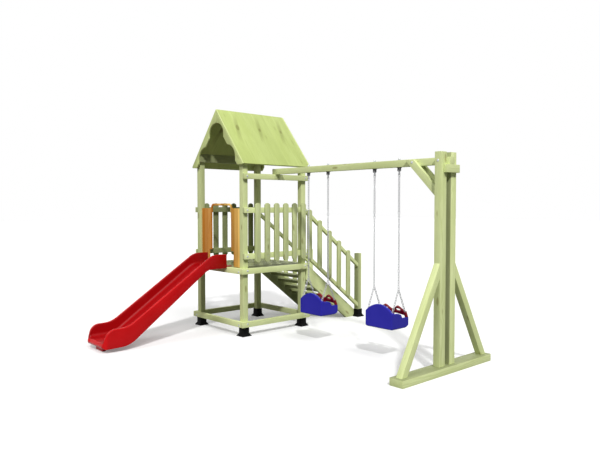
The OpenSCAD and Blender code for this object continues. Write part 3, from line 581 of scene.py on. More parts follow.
def boarded(name, light, dark, knot, board, ring_width, knot_row, spread, joint, gloss):
    """Boards side by side: each has its own log and shade, and may carry one knot in a row of them."""
    finish, tree, surface = material(name)
    place = corner_value(tree, "grain")["Vector"]
    along, across, deep = put(tree, "ShaderNodeSeparateXYZ", {0: place}).outputs
    boards = put(tree, "ShaderNodeGroup", {"Across": across, "Board": board}, node_tree=boarding)
    inside = boards.outputs["Inside"]
    start = calc(tree, "ADD", along, calc(tree, "MULTIPLY", boards.outputs["Number"], 7.3))
    below = calc(tree, "ADD", deep, 0.02)
    log = put(tree, "ShaderNodeCombineXYZ", {0: start, 1: inside, 2: below}).outputs[0]
    wood = put(tree, "ShaderNodeGroup", {"Grain": log, "Ring width": ring_width}, node_tree=pine_grain)
    colour = mixed(tree, calc(tree, "MULTIPLY", wood.outputs["Rings"], 0.5), light, dark)
    colour = mixed(tree, ramp(tree, wood.outputs["Mottle"], 0.4, 0.7, 0.0, 0.4), colour, dark)
    colour = mixed(tree, calc(tree, "MULTIPLY", wood.outputs["Knots"], 0.3), colour, knot)
    if knot_row:
        rise = calc(tree, "MULTIPLY", calc(tree, "SUBTRACT", along, knot_row), 0.55)
        side = calc(tree, "ADD", inside, calc(tree, "MULTIPLY", rise, 0.35))
        spot = put(tree, "ShaderNodeCombineXYZ", {0: rise, 1: side}).outputs[0]
        reach = put(tree, "ShaderNodeVectorMath", {0: spot}, operation="LENGTH").outputs["Value"]
        waver = calc(tree, "MULTIPLY", calc(tree, "SUBTRACT", wood.outputs["Mottle"], 0.5), 0.05)
        eye = ramp(tree, calc(tree, "ADD", reach, waver), 0.016, 0.034, 0.8, 0.0)
        colour = mixed(tree, eye, colour, knot)
        beside = ramp(tree, calc(tree, "ABSOLUTE", side), 0.012, 0.05, 1.0, 0.0)
        beyond = ramp(tree, calc(tree, "ABSOLUTE", rise), 0.03, 0.17, 0.45, 0.0)
        colour = mixed(tree, calc(tree, "MULTIPLY", beside, beyond), colour, knot)
    streaks = ramp(tree, wood.outputs["Fibre"], 0.3, 0.7, 0.94, 1.04)
    own = ramp(tree, boards.outputs["Shade"], 0.0, 1.0, 1.0 - spread, 1.0 + spread * 0.5)
    groove = ramp(tree, boards.outputs["Joint"], 0.0, 1.0, 1.0, 1.0 - joint)
    shade = calc(tree, "MULTIPLY", calc(tree, "MULTIPLY", streaks, own), groove)
    finish_timber(tree, surface, wood, with_painted_shade(tree, colour, shade), gloss, 0.25, boards, joint * 4)
    return finish


def write_grain(piece, grain):
    """Grain coordinates and a middle shade for a whole piece, kept at its corners."""
    keep(piece.data, "grain", grain)
    keep(piece.data, "plank", [0.5] * len(grain))


ROOF_BOARD = 0.3935
KNOT_ROW = 0.33
ROOF_GLOSS = (0.5, 0.7)
BARGE_TONES = (tone(206, 217, 150), tone(182, 194, 116), tone(144, 142, 82))
PANEL_TONES = (tone(190, 204, 129), tone(170, 184, 104), tone(132, 136, 75))
roof_pine = sawn(
    "roof_pine",
    *BARGE_TONES,
    ring_width=0.012,
    ring_share=0.4,
    knot_share=0.5,
    gloss=ROOF_GLOSS,
)
roof_boards = boarded(
    "roof_boards",
    *PANEL_TONES,
    board=ROOF_BOARD,
    ring_width=0.02,
    knot_row=KNOT_ROW,
    spread=0.04,
    joint=0.05,
    gloss=ROOF_GLOSS,
)
ridge_top = max(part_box("roof_panel_near")[1].z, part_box("roof_panel_far")[1].z)
for panel in ("roof_panel_near", "roof_panel_far"):
    low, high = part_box(panel)
    slope = math.hypot(high.y - low.y, high.z - low.z)
    panel_piece = timbers(panel, roof_boards, 0.004)
    for old_name in ("grain", "plank"):
        panel_piece.data.attributes.remove(panel_piece.data.attributes[old_name])
    places = []
    for v in panel_piece.data.vertices:
        sunk = (ridge_top - v.co.z) / (high.z - low.z) * slope
        places.append((sunk, v.co.x - low.x, abs(v.co.y - (low.y + high.y) / 2) * 0.05))
    write_grain(panel_piece, places)
    drop = low.z - high.z if panel.endswith("near") else high.z - low.z
    lean = Vector((0, drop, high.y - low.y)).normalized()
    heights = [v.co @ lean for v in panel_piece.data.vertices]
    half_way = (min(heights) + max(heights)) / 2
    # Painted shade: the panel's underside is coloured darker.
    paint_shade(panel_piece, lambda corner: 0.15 if corner @ lean < half_way else 0.0)
# Painted shade: the ridge board and eave plates lie in the shade under the roof and are coloured darker.
for carrier in ("ridge_board", "eave_plates"):
    paint_shade(timbers(carrier), lambda corner: 0.5)


def grained_copy(node, along, finish, modifiers, seed):
    """A shaped copy of a node with one grain direction for each side of the tower it stands on."""
    piece = worked_copy(node, finish, "frame", modifiers)
    draw = random.Random(seed)
    points = [v.co.copy() for v in piece.data.vertices]
    middle = sum(points, Vector()) / len(points)
    grain = []
    lefts = log_place(points, along[0], draw)
    rights = log_place(points, along[1], draw)
    for point, left, right in zip(points, lefts, rights):
        grain.append(left if point.y < middle.y else right)
    keep(piece.data, "grain", grain)
    keep(piece.data, "plank", [0.75 if p.y < middle.y else 0.45 for p in points])
    return piece


panel_low, panel_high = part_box("roof_panel_near")
fall = Vector((0, panel_high.y - panel_low.y, panel_high.z - panel_low.z)).normalized()
gable_ways = (fall, Vector((0, -fall.y, fall.z)))
for seed, gable in enumerate(("barge_boards_slide", "barge_boards_stair")):
    grained_copy(gable, gable_ways, roof_pine, [rounding(0.003)], seed)

# Slide: a deep trough moulded in one piece of red plastic, with rolled rims and a run-out.
# Its tongue lies on the deck, its nose is closed and rounded, and a foot carries it on the ground.
SLIDE_SKIN = {"gloss": 0.32, "rubbed": 0.5, "pebble": 0.0009, "depth": 0.0002, "sheen": 0.14}
slide_red = moulded("slide_red", tone(186, 10, 15), tone(198, 16, 21), **SLIDE_SKIN)
tower_low, tower_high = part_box("deck_fascias")
tower_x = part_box("swing_beam")[0].x + 0.038
tower_y = (tower_low.y + tower_high.y) / 2
SLIDE_WIDE = 0.5
SLIDE_WALL = 0.034
BED_THICK = 0.018
DECK_Z = 0.92
START_X = -0.613
END_X = -2.39
RIM_Z = 1.1
FLAT_RUN = 0.225
EXIT_RUN = 0.32
EXIT_RIM = 0.286
EXIT_BED = 0.132
EXIT_LOW = 0.048
EXIT_LEAN = 0.07
NOSE = 0.048
NOSE_CORNER = 0.065
NOSE_TIP = 0.1
TIP_ROUND = 0.0065
TIP_INSET = 0.014
TIP_TURNS = (0.4, 0.8, 1.2, 1.5)
START_LOW = 0.905
RIM_BENDS = (0.24, 0.33, 0.125)
LOW_BENDS = (0.2, 0.33, 0.045)
BED_BENDS = (0.26, 0.33)


def rounded_corner(before, corner, after, radius, steps=9):
    """Points of an arc that rounds a corner of a line in the x-z plane."""
    a, b, c = Vector(before), Vector(corner), Vector(after)
    u, v = (a - b).normalized(), (c - b).normalized()
    half = u.angle(v) / 2
    centre = b + (u + v).normalized() * radius / math.sin(half)
    first = b + u * radius / math.tan(half) - centre
    last = b + v * radius / math.tan(half) - centre
    ways = [first.slerp(last, i / steps).normalized() for i in range(steps + 1)]
    return [tuple(centre + way * radius) for way in ways]


def bent_line(points, radii):
    """A line from its first point, with each of the next corners rounded by its own radius."""
    line = [points[0]]
    for i, radius in enumerate(radii):
        line += rounded_corner(*points[i : i + 3], radius)
    return line


fall_x0 = START_X - FLAT_RUN
fall_x1 = END_X + EXIT_RUN
bed_z = DECK_Z + BED_THICK
nose_tip = (END_X, NOSE_TIP)
rim_points = [(START_X, RIM_Z), (fall_x0, RIM_Z), (fall_x1, EXIT_RIM)]
rim_points += [(END_X + EXIT_LEAN, EXIT_RIM), nose_tip]
rim_line = bent_line(rim_points, RIM_BENDS) + [nose_tip]
low_points = [(START_X, START_LOW), (fall_x0 - 0.07, START_LOW)]
low_points += [(fall_x1 + 0.02, EXIT_LOW + 0.008), (END_X, EXIT_LOW), nose_tip]
low_line = bent_line(low_points, LOW_BENDS)
bed_foot = (fall_x1 + 0.028, EXIT_BED)
bed_end = (END_X, EXIT_BED - 0.004)
bed_line = bent_line([(START_X, bed_z), (fall_x0 - 0.028, bed_z), bed_foot], BED_BENDS[:1])
bed_line += rounded_corner((fall_x0, bed_z), bed_foot, bed_end, BED_BENDS[1])
bed_line += [bed_end]


def height_at(line, x):
    for (x0, z0), (x1, z1) in zip(line, line[1:]):
        if x1 <= x <= x0:
            return z0 if x0 - x1 < 1e-6 else z0 + (z1 - z0) * (x0 - x) / (x0 - x1)
    return line[-1][1]


def trough_section(x):
    """One closed section of the trough: bed, fillets, walls with rolled rims and open underside."""
    rim, low = height_at(rim_line, x), height_at(low_line, x)
    outer, roll = SLIDE_WIDE / 2, min(SLIDE_WALL / 2, (rim - low) * 0.4)
    inner = outer - SLIDE_WALL
    bed = min(height_at(bed_line, x), rim - roll - 0.004)
    fillet = min(0.05, (rim - roll - bed) * 0.8)
    half = [(0.0, bed - 0.003), (inner * 0.45, bed - 0.002)]
    for i in range(7):
        turn = math.pi / 2 * i / 6
        half.append((inner - fillet + fillet * math.sin(turn), bed + fillet - fillet * math.cos(turn)))
    for i in range(9):
        turn = math.pi * i / 8
        y = outer - SLIDE_WALL / 2 - SLIDE_WALL / 2 * math.cos(turn)
        half.append((y, rim - roll + roll * math.sin(turn)))
    half += [(outer, low + 0.002), (outer - 0.006, low), (inner + 0.006, low)]
    if x < END_X + NOSE:
        half += [(inner, low), (inner * 0.8, low), (0.0, low)]
    else:
        under = max(bed - BED_THICK, low + 0.0025)
        half += [(inner, low + 0.002), (inner, under), (0.0, under)]
    other = [(-y, z) for y, z in reversed(half[1:-1])]
    return half + other


stations = sorted({round(p[0], 5) for p in rim_line + low_line + bed_line}, reverse=True)
last_x = END_X + TIP_ROUND
stations = [x for x in stations if x > last_x] + [END_X + NOSE + 0.0021, END_X + NOSE - 0.0021]
stations += [END_X + NOSE_CORNER * (1 - math.sin(math.pi / 2 * i / 9)) for i in range(8)]
stations.sort(reverse=True)
stations = [x for i, x in enumerate(stations) if i == 0 or stations[i - 1] - x > 0.002]
filled = []
for first, second in zip(stations, stations[1:]):
    parts = max(1, int((first - second) / 0.06))
    filled += [first + (second - first) * i / parts for i in range(parts)]
stations = filled + [last_x]
trough = bmesh.new()
rings = []
for x in stations:
    left = max(0.0, NOSE_CORNER - (x - END_X))
    narrow = 1 - (NOSE_CORNER - math.sqrt(NOSE_CORNER**2 - left**2)) / (SLIDE_WIDE / 2)
    section = [(x + tower_x, y * narrow + tower_y, z) for y, z in trough_section(x)]
    rings.append([trough.verts.new(spot) for spot in section])
front = list(rings[-1])
front_z = [v.co.z for v in front]
front_mid = (min(front_z) + max(front_z)) / 2
front_half = (max(front_z) - min(front_z)) / 2
for turn in TIP_TURNS:
    inset = TIP_INSET * (1 - math.cos(turn))
    flatter = 1 - inset / front_half
    shorter = 1 - inset / (SLIDE_WIDE / 2)
    edge_x = last_x + tower_x - TIP_ROUND * math.sin(turn)
    edge = []
    for v in front:
        y = tower_y + (v.co.y - tower_y) * shorter
        edge.append(trough.verts.new((edge_x, y, front_mid + (v.co.z - front_mid) * flatter)))
    rings.append(edge)
for first, second in zip(rings, rings[1:]):
    for i in range(len(first)):
        k = (i + 1) % len(first)
        trough.faces.new((first[i], first[k], second[k], second[i]))
trough.faces.new(rings[0])
trough.faces.new(list(reversed(rings[-1])))


def rounded_block(work, low, high, width, segments=3):
    """A block with rounded arrises, added to a mesh in the making."""
    block = bmesh.new()
    bmesh.ops.create_cube(block, size=1.0)
    for v in block.verts:
        v.co = Vector([low[i] + (v.co[i] + 0.5) * (high[i] - low[i]) for i in range(3)])
    ease(block, width, segments)
    made = {v: work.verts.new(v.co) for v in block.verts}
    for f in block.faces:
        work.faces.new([made[v] for v in f.verts])
    block.free()


def fitting(name, work, finish):
    """A plain piece from a mesh in the making."""
    work.verts.index_update()
    corners = [v.co.copy() for v in work.verts]
    faces = [[v.index for v in f.verts] for f in work.faces]
    work.free()
    return new_piece(name, corners, faces, finish)


inside = SLIDE_WIDE / 2 - SLIDE_WALL
bmesh.ops.recalc_face_normals(trough, faces=trough.faces)
behind_nose = END_X + NOSE_CORNER + tower_x
sharp = [e for e in trough.edges if e.calc_face_angle(0) > math.radians(55)]
round_edges(trough, [e for e in sharp if e.verts[0].co.x > behind_nose], ARRIS)
tongue = ((START_X + 0.0005, -inside, DECK_Z), (-0.505, inside, bed_z - 0.004))
foot = ((END_X + 0.06, -SLIDE_WIDE / 5, 0.0), (END_X + 0.1, SLIDE_WIDE / 5, EXIT_BED - 0.022))
for low, high in (tongue, foot):
    shift = Vector((tower_x, tower_y, 0))
    rounded_block(trough, Vector(low) + shift, Vector(high) + shift, 0.005)
slide = fitting("slide_trough", trough, slide_red)
# Painted shade: the trough's inside and the top of the slide near the tower are coloured darker.
SHADE_END = -1.55
painted_slide_shade, painted_highlight = [], []
for v in slide.data.vertices:
    x, y = v.co.x - tower_x, abs(v.co.y - tower_y)
    above = v.co.z - height_at(bed_line, x)
    in_trough = y < inside + 0.008 and above > -0.006 and x < START_X + 0.001
    near_tower = min(1.0, max(0.0, (x - SHADE_END) / (START_X - SHADE_END))) ** 2
    painted_slide_shade.append(1.0 + 0.2 * near_tower if in_trough else 1.3 * near_tower)
    painted_highlight.append(max(0.0, 1 - y / 0.12) if abs(above) < 0.008 else 0.0)
keep(slide.data, "painted_slide_shade", painted_slide_shade)
keep(slide.data, "painted_highlight", painted_highlight)
tree = slide_red.node_tree
surface = tree.nodes["Principled BSDF"]
faded = surface.inputs["Base Color"].links[0].from_socket
PAINTED_SHADE_RED = tone(142, 5, 9)
PAINTED_HIGHLIGHT_RED = tone(190, 24, 28)
# The painted shade mixes the red towards a deep shaded red.
deep = calc(tree, "MULTIPLY", corner_value(tree, "painted_slide_shade")["Fac"], 0.85)
shade = mixed(tree, deep, faded, PAINTED_SHADE_RED)
# Painted highlight: a lighter streaky red along the middle of the bed.
place = put(tree, "ShaderNodeTexCoord", {}).outputs["Object"]
runs = cloudy(tree, stretched(tree, place, (0.8, 40.0, 0.8)), 1.0)
rubbed = calc(tree, "MULTIPLY", corner_value(tree, "painted_highlight")["Fac"], ramp(tree, runs, 0.35, 0.65))
shade = mixed(tree, rubbed, shade, PAINTED_HIGHLIGHT_RED)
tree.links.new(shade, surface.inputs["Base Color"])
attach(slide, "frame")
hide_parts("slide_chute")

# Slide guard: two cheeks and an arched hand bar cut from one glued panel and screwed to battens.
# It is stained orange. Its upright strips take the stain lighter or darker, the far cheek deepest, and
# painted shade darkens it towards the far cheek.
STRIP_WIDE = 0.0817
ORANGE_TONES = (tone(255, 214, 124), tone(230, 172, 82), tone(150, 78, 16))
orange_stain = boarded(
    "orange_stain",
    *ORANGE_TONES,
    board=STRIP_WIDE,
    ring_width=0.014,
    knot_row=0,
    spread=0.05,
    joint=0.5,
    gloss=(0.4, 0.58),
)
tree = orange_stain.node_tree
surface = tree.nodes["Principled BSDF"]
strips = [n for n in tree.nodes if n.type == "GROUP" and n.node_tree == boarding][0]
stained = surface.inputs["Base Color"].links[0].from_socket
turn = calc(tree, "MODULO", strips.outputs["Number"], 3.0)
stained = mixed(tree, calc(tree, "MULTIPLY", turn, 0.42), stained, tone(176, 120, 34))
across = strips.inputs["Across"].links[0].from_socket
stained = mixed(tree, ramp(tree, across, 0.4, 0.7, 0.0, 0.62), stained, tone(188, 104, 18))
tree.links.new(stained, surface.inputs["Base Color"])
guard = worked_copy("slide_guard", orange_stain, "frame", [rounding(0.005, 3)])
guard_low, guard_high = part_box("slide_guard")
write_grain(guard, [(v.co.z, v.co.y - guard_low.y, v.co.x - guard_low.x) for v in guard.data.vertices])
# Painted shade: the guard is coloured a little darker towards the far cheek.
paint_shade(guard, lambda corner: 0.1 * (corner.y - guard_low.y) / (guard_high.y - guard_low.y))
timbers("guard_battens")

# Stairs: two deep stringers with open treads let in between them, and end posts in shoes at the foot.
# The railing on each side has a handrail, a lower rail and five round-ended pickets.
for part in ("stair_stringer_near", "stair_post_far"):
    timbers(part)
end_low, end_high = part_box("stair_post_near")
end_x = (end_low.x + end_high.x) / 2
# Painted shade: the end post's side towards the tower lies in the tower's shadow and is coloured darker.
paint_shade(timbers("stair_post_near"), lambda spot: 0.48 if spot.x < end_x else 0.0)
far_low, far_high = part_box("stair_stringer_far")
far_y = (far_low.y + far_high.y) / 2
# Painted shade: the far stringer's inner side is coloured darker.
paint_shade(timbers("stair_stringer_far"), lambda spot: 0.35 if spot.y < far_y else 0.0)
for part in ("stair_rails_near", "stair_rails_far"):
    timbers(part)
treads = sorted(solids_of("stair_treads"), key=lambda s: middle_of(s).z)
# Painted shade: the treads and the near pickets are coloured darker.
paint_shade(row_of_planks("stair_treads", treads, 21), lambda spot: 0.35)
paint_shade(picket_row("stair_pickets_near", 22), lambda spot: 0.22)
picket_row("stair_pickets_far", 23)

# Swing arm: a beam carried by the tie rail and by twin posts on a long base plate.
# Two leaning braces hold the posts upright, two knee braces stiffen the beam, a block bears its end.
ARM = ("swing_beam", "support_post_slide", "support_post_stair", "support_block", "base_plate")
BRACES = ("brace_slide", "brace_stair", "knee_slide", "knee_stair")
arm = {part: timbers(part) for part in ARM + BRACES}
plate_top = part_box("base_plate")[1].z
# Painted shade: the base plate's top face is coloured darker.
paint_shade(arm["base_plate"], lambda corner: 0.5 if corner.z > plate_top - 0.001 else 0.0)
# Painted shade: the faces of the twin posts in the gap between them are coloured darker.
gap_x = (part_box("support_post_slide")[0].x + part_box("support_post_stair")[1].x) / 2
for post in ("support_post_slide", "support_post_stair"):
    gap_half = min(abs(side.x - gap_x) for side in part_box(post))
    paint_shade(arm[post], lambda corner: 0.45 if abs(corner.x - gap_x) < gap_half + 0.001 else 0.0)

# Hangers: a zinc-plated bolt with a capped nut through the beam, over a black yoke that holds the pin.
# The yokes are bent from strap and coated black; the hooks of the swings turn on the pins.
PLACE = [("Place", "NodeSocketVector", None)]
zinc_bloom, given, result = effect("zinc_bloom", PLACE, ["Bloom", "Pits"])
zinc_bloom.links.new(cloudy(zinc_bloom, given["Place"], 60.0, 4.0), result["Bloom"])
zinc_bloom.links.new(cloudy(zinc_bloom, given["Place"], 700.0), result["Pits"])


def metal(name, bright, dull, gloss, metallic):
    """Plated or coated steel with cloudy bloom and fine pits."""
    finish, tree, surface = material(name)
    place = put(tree, "ShaderNodeTexCoord", {}).outputs["Object"]
    skin = put(tree, "ShaderNodeGroup", {}, node_tree=zinc_bloom)
    tree.links.new(place, skin.inputs["Place"])
    colour = mixed(tree, skin.outputs["Bloom"], bright, dull)
    roughness = ramp(tree, skin.outputs["Bloom"], 0.3, 0.7, *gloss)
    dress(tree, surface, colour, roughness, skin.outputs["Pits"], strength=0.2, depth=0.0003)
    surface.inputs["Metallic"].default_value = metallic
    return finish


ZINC_TONES = (tone(202, 204, 206), tone(164, 167, 170))
BLACK_TONES = (tone(18, 18, 18), tone(30, 30, 30))
zinc = metal("zinc_plate", *ZINC_TONES, gloss=(0.34, 0.55), metallic=0.75)
coated_black = metal("coated_black", *BLACK_TONES, gloss=(0.38, 0.52), metallic=0.0)

set_on, set_keys, given = growing_tree(
    "set_on_points",
    (
        ("Points", "NodeSocketGeometry"),
        ("Fitting", "NodeSocketObject"),
        ("Finish", "NodeSocketMaterial"),
    ),
)
fitting_shape = put(set_on, "GeometryNodeObjectInfo", {"Object": given["Fitting"]}).outputs["Geometry"]
facing = named_value(set_on, "facing", "FLOAT_VECTOR")
turned = put(set_on, "FunctionNodeAlignRotationToVector", {"Vector": facing}, axis="Z").outputs[0]
copies = {"Points": given["Points"], "Instance": fitting_shape, "Rotation": turned}
placed = put(set_on, "GeometryNodeInstanceOnPoints", copies).outputs[0]
fused = put(set_on, "GeometryNodeRealizeInstances", {"Geometry": placed}).outputs[0]
close_tree(set_on, fused, given["Finish"])


def turned_shape(work, outline, sides):
    """A turned solid: an outline of radius and height from the bottom axis to the top axis, closed."""
    bottom = work.verts.new((0, 0, outline[0][1]))
    top = work.verts.new((0, 0, outline[-1][1]))
    hoops = []
    for radius, height in outline[1:-1]:
        hoop = []
        for i in range(sides):
            angle = 2 * math.pi * i / sides
            hoop.append(work.verts.new((radius * math.cos(angle), radius * math.sin(angle), height)))
        hoops.append(hoop)
    for i in range(sides):
        k = (i + 1) % sides
        work.faces.new((bottom, hoops[0][k], hoops[0][i]))
        work.faces.new((top, hoops[-1][i], hoops[-1][k]))
        for first, second in zip(hoops, hoops[1:]):
            work.faces.new((first[i], first[k], second[k], second[i]))


def set_fittings(name, pattern, places, facings, finish, body, node=None):
    """The same fitting at each place, turned to face outwards, as one piece."""
    host = bpy.data.meshes.new(name + "_places")
    host.from_pydata(places, [], [])
    keep(host, "facing", facings)
    piece = grown(name, set_on, set_keys, {"Fitting": pattern, "Finish": finish}, host)
    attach(piece, body)
    if node:
        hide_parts(node)
    return piece


beam_low, beam_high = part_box("swing_beam")
beam_top = beam_high.z
pins = [s for s in solids_of("hanger_bolts") if max(p.z for p in s) < beam_low.z]
hanger_spots = sorted((middle_of(p) for p in pins), key=lambda m: m.y)
cap = bmesh.new()
WASHER_TOP = 0.004
NUT_TOP = 0.016
DOME_R = 0.0115
turned_shape(cap, [(0, 0), (0.02, 0), (0.02, 0.003), (0.0185, WASHER_TOP), (0, WASHER_TOP)], 24)
nut = [(0, WASHER_TOP), (0.0125, WASHER_TOP), (0.0138, 0.006)]
nut += [(0.0138, 0.014), (0.0125, NUT_TOP), (0, NUT_TOP)]
turned_shape(cap, nut, 6)
quarter_turn = [math.pi / 2 * i / 5 for i in range(6)]
dome = [(DOME_R * math.cos(t), NUT_TOP + DOME_R * math.sin(t)) for t in quarter_turn]
turned_shape(cap, [(0, NUT_TOP)] + dome[:-1] + [(0, dome[-1][1])], 20)
shank_end = beam_low.z - beam_top - 0.002
turned_shape(cap, [(0, shank_end), (0.006, shank_end), (0.006, 0), (0, 0)], 16)
cap_piece = fitting("hanger_cap_pattern", cap, zinc)
tops = [(m.x, m.y, beam_top) for m in hanger_spots]
set_fittings("hanger_caps", cap_piece, tops, [(0, 0, 1)] * 4, zinc, "frame", "hanger_bolts")
bpy.data.objects.remove(cap_piece)
pin = bmesh.new()
PIN_R = 0.005
pin_end = max(p.y for p in pins[0]) - middle_of(pins[0]).y
pin_outline = [(0, -pin_end), (PIN_R, -pin_end), (PIN_R, pin_end - 0.0022)]
pin_outline += [(0.008, pin_end - 0.0021), (0.008, pin_end)]
pin_outline += [(0.0068, pin_end + 0.0015), (0, pin_end + 0.0015)]
turned_shape(pin, pin_outline, 20)
pin_piece = fitting("hanger_pin_pattern", pin, zinc)
set_fittings("hanger_pins", pin_piece, hanger_spots, [(0, 1, 0)] * 4, zinc, "frame")
bpy.data.objects.remove(pin_piece)
worked_copy("hanger_yokes", coated_black, "frame", [rounding(0.0018, 2, 50)])

# Fixings: domed coach bolts hold the rails to the posts, and countersunk screws hold the pickets.
# All are zinc plated; a bolt has a washer under its head, a screw a round recess for the driver.
HEAD_DEEP = 0.0101


def heads_of(node):
    """Where each fixing's head stands, and the way that it faces: out from its thick end."""
    spots, ways = [], []
    for solid in solids_of(node):
        low = Vector([min(p[i] for p in solid) for i in range(3)])
        high = Vector([max(p[i] for p in solid) for i in range(3)])
        axis = max(range(3), key=lambda i: high[i] - low[i])
        other = (axis + 1) % 3
        centre = (low + high) / 2
        reach = []
        for end in (low, high):
            head = [p for p in solid if abs(p[axis] - end[axis]) < HEAD_DEEP]
            reach.append(max(abs(p[other] - centre[other]) for p in head))
        way = Vector((0, 0, 0))
        way[axis] = 1.0 if reach[1] > reach[0] else -1.0
        centre[axis] = high[axis] if reach[1] > reach[0] else low[axis]
        spots.append(centre)
        ways.append(way)
    return spots, ways


BOLT_RISE = 0.0074
BOLT_WASHER = 0.0018
bolt = bmesh.new()
turned_shape(bolt, [(0, 0), (0.0145, 0), (0.0145, 0.0014), (0.0138, BOLT_WASHER), (0, BOLT_WASHER)], 20)
domed = [(0, BOLT_WASHER), (0.0115, BOLT_WASHER), (0.0115, 0.0028), (0.0104, 0.0046)]
domed += [(0.0081, 0.0062), (0.0046, 0.0071), (0, BOLT_RISE)]
turned_shape(bolt, domed, 20)
bolt_piece = fitting("coach_bolt_pattern", bolt, zinc)
spots, ways = heads_of("coach_bolts")
seats = [s - w * BOLT_RISE for s, w in zip(spots, ways)]
set_fittings("coach_bolt_heads", bolt_piece, seats, ways, zinc, "frame", "coach_bolts")
bpy.data.objects.remove(bolt_piece)
screw = bmesh.new()
countersunk = [(0, -0.003), (0.0026, -0.003), (0.005, -0.0006), (0.005, 0.0002), (0.0042, 0.0006)]
countersunk += [(0.0022, 0.0006), (0.0018, -0.0016), (0, -0.0016)]
turned_shape(screw, countersunk, 12)
screw_piece = fitting("picket_screw_pattern", screw, zinc)
spots, ways = heads_of("picket_screws")
set_fittings("picket_screw_heads", screw_piece, spots, ways, zinc, "frame", "picket_screws")
bpy.data.objects.remove(screw_piece)

# Swings: plated hooks on the pins, galvanised chains that split into two legs, and a blue bucket seat.
# A dark red bar with two hand holes closes the seat; its eyes ride up and down the front legs.
CHAIN_TONES = (tone(196, 197, 199), tone(158, 160, 163))
chain_grey = metal("chain_zinc", *CHAIN_TONES, gloss=(0.4, 0.6), metallic=0.35)
SEAT_SKIN = {"gloss": 0.4, "rubbed": 0.58, "pebble": 0.0012, "depth": 0.0003, "sheen": 0.12}
BAR_SKIN = {"gloss": 0.32, "rubbed": 0.5, "pebble": 0.0011, "depth": 0.0003, "sheen": 0.22}
seat_blue = moulded("seat_blue", tone(40, 38, 158), tone(48, 45, 168), **SEAT_SKIN)
bar_red = moulded("bar_red", tone(122, 6, 22), tone(134, 12, 28), **BAR_SKIN)

chain_tree, chain_keys, given = growing_tree(
    "chain_of_links",
    (
        ("Runs", "NodeSocketGeometry"),
        ("Link", "NodeSocketObject"),
        ("Pitch", "NodeSocketFloat"),
        ("Finish", "NodeSocketMaterial"),
    ),
)
runs = put(chain_tree, "GeometryNodeMeshToCurve", {"Mesh": given["Runs"]}).outputs[0]
steps = {"Curve": runs, "Length": given["Pitch"]}
spaced = put(chain_tree, "GeometryNodeResampleCurve", steps, mode="LENGTH").outputs[0]
beads = put(chain_tree, "GeometryNodeCurveToPoints", {"Curve": spaced}, mode="EVALUATED")
index = chain_tree.nodes.new("GeometryNodeInputIndex").outputs[0]
odd = calc(chain_tree, "MODULO", index, 2.0)
spin = {"Axis": (0.0, 0.0, 1.0), "Angle": calc(chain_tree, "MULTIPLY", odd, math.pi / 2)}
roll = put(chain_tree, "FunctionNodeAxisAngleToRotation", spin).outputs[0]
tangent = {"Vector": beads.outputs["Tangent"]}
lengthwise = put(chain_tree, "FunctionNodeAlignRotationToVector", tangent, axis="Z").outputs[0]
both_turns = {"Rotation": lengthwise, "Rotate By": roll}
crossed = put(chain_tree, "FunctionNodeRotateRotation", both_turns, rotation_space="LOCAL").outputs[0]
link_shape = put(chain_tree, "GeometryNodeObjectInfo", {"Object": given["Link"]}).outputs["Geometry"]
copies = {"Points": beads.outputs["Points"], "Instance": link_shape, "Rotation": crossed}
linked = put(chain_tree, "GeometryNodeInstanceOnPoints", copies).outputs[0]
welded = put(chain_tree, "GeometryNodeRealizeInstances", {"Geometry": linked}).outputs[0]
close_tree(chain_tree, welded, given["Finish"])

LINK_WIRE = 0.0066
LINK_PITCH = 0.03
LINK_WIDE = 0.026


def tube_loop(work, line, radius, sides=7):
    """A closed ring of round wire along a flat closed line of points."""
    count = len(line)
    normal = (line[1] - line[0]).cross(line[count // 3] - line[0]).normalized()
    hoops = []
    for i in range(count):
        along = (line[(i + 1) % count] - line[i - 1]).normalized()
        outward = along.cross(normal)
        hoop = []
        for k in range(sides):
            angle = 2 * math.pi * k / sides
            way = outward * math.cos(angle) + normal * math.sin(angle)
            hoop.append(work.verts.new(line[i] + way * radius))
        hoops.append(hoop)
    for i in range(count):
        first, second = hoops[i], hoops[(i + 1) % count]
        for k in range(sides):
            n = (k + 1) % sides
            work.faces.new((first[k], first[n], second[n], second[k]))
    bmesh.ops.recalc_face_normals(work, faces=work.faces)


def ring_line(centre, axis, radius, count=24):
    one = axis.orthogonal().normalized()
    two = axis.cross(one)
    angles = [2 * math.pi * i / count for i in range(count)]
    return [centre + (one * math.cos(angle) + two * math.sin(angle)) * radius for angle in angles]


link = bmesh.new()
bend_r = (LINK_WIDE - LINK_WIRE) / 2
straight = LINK_PITCH / 2 + LINK_WIRE / 2 - bend_r
link_line = []
for end in (1, -1):
    for i in range(6):
        angle = math.pi * i / 5
        height = end * (straight + bend_r * math.sin(angle))
        link_line.append(Vector((end * bend_r * math.cos(angle), 0, height)))
tube_loop(link, link_line, LINK_WIRE / 2)
link_piece = fitting("chain_link_pattern", link, chain_grey)
seat_mould = ("REMESH", {"mode": "VOXEL", "voxel_size": 0.0042})
bar_mould = ("REMESH", {"mode": "VOXEL", "voxel_size": 0.0028})
rubbed_round = ("SMOOTH", {"factor": 0.5, "iterations": 9})
RING_R = 0.015
RING_WIRE = 0.003
RING_Z = 0.82
EYE_R = 0.009
EYE_WIRE = 0.0028
FRONT_EYE = (0.148, 0.484)
BACK_EYE = (-0.115, 0.54)
LENGTHWAYS = Vector((1, 0, 0))
CROSSWAYS = Vector((0, 1, 0))
down = Vector((0, 0, -1))
reach = RING_R - RING_WIRE + LINK_PITCH / 2
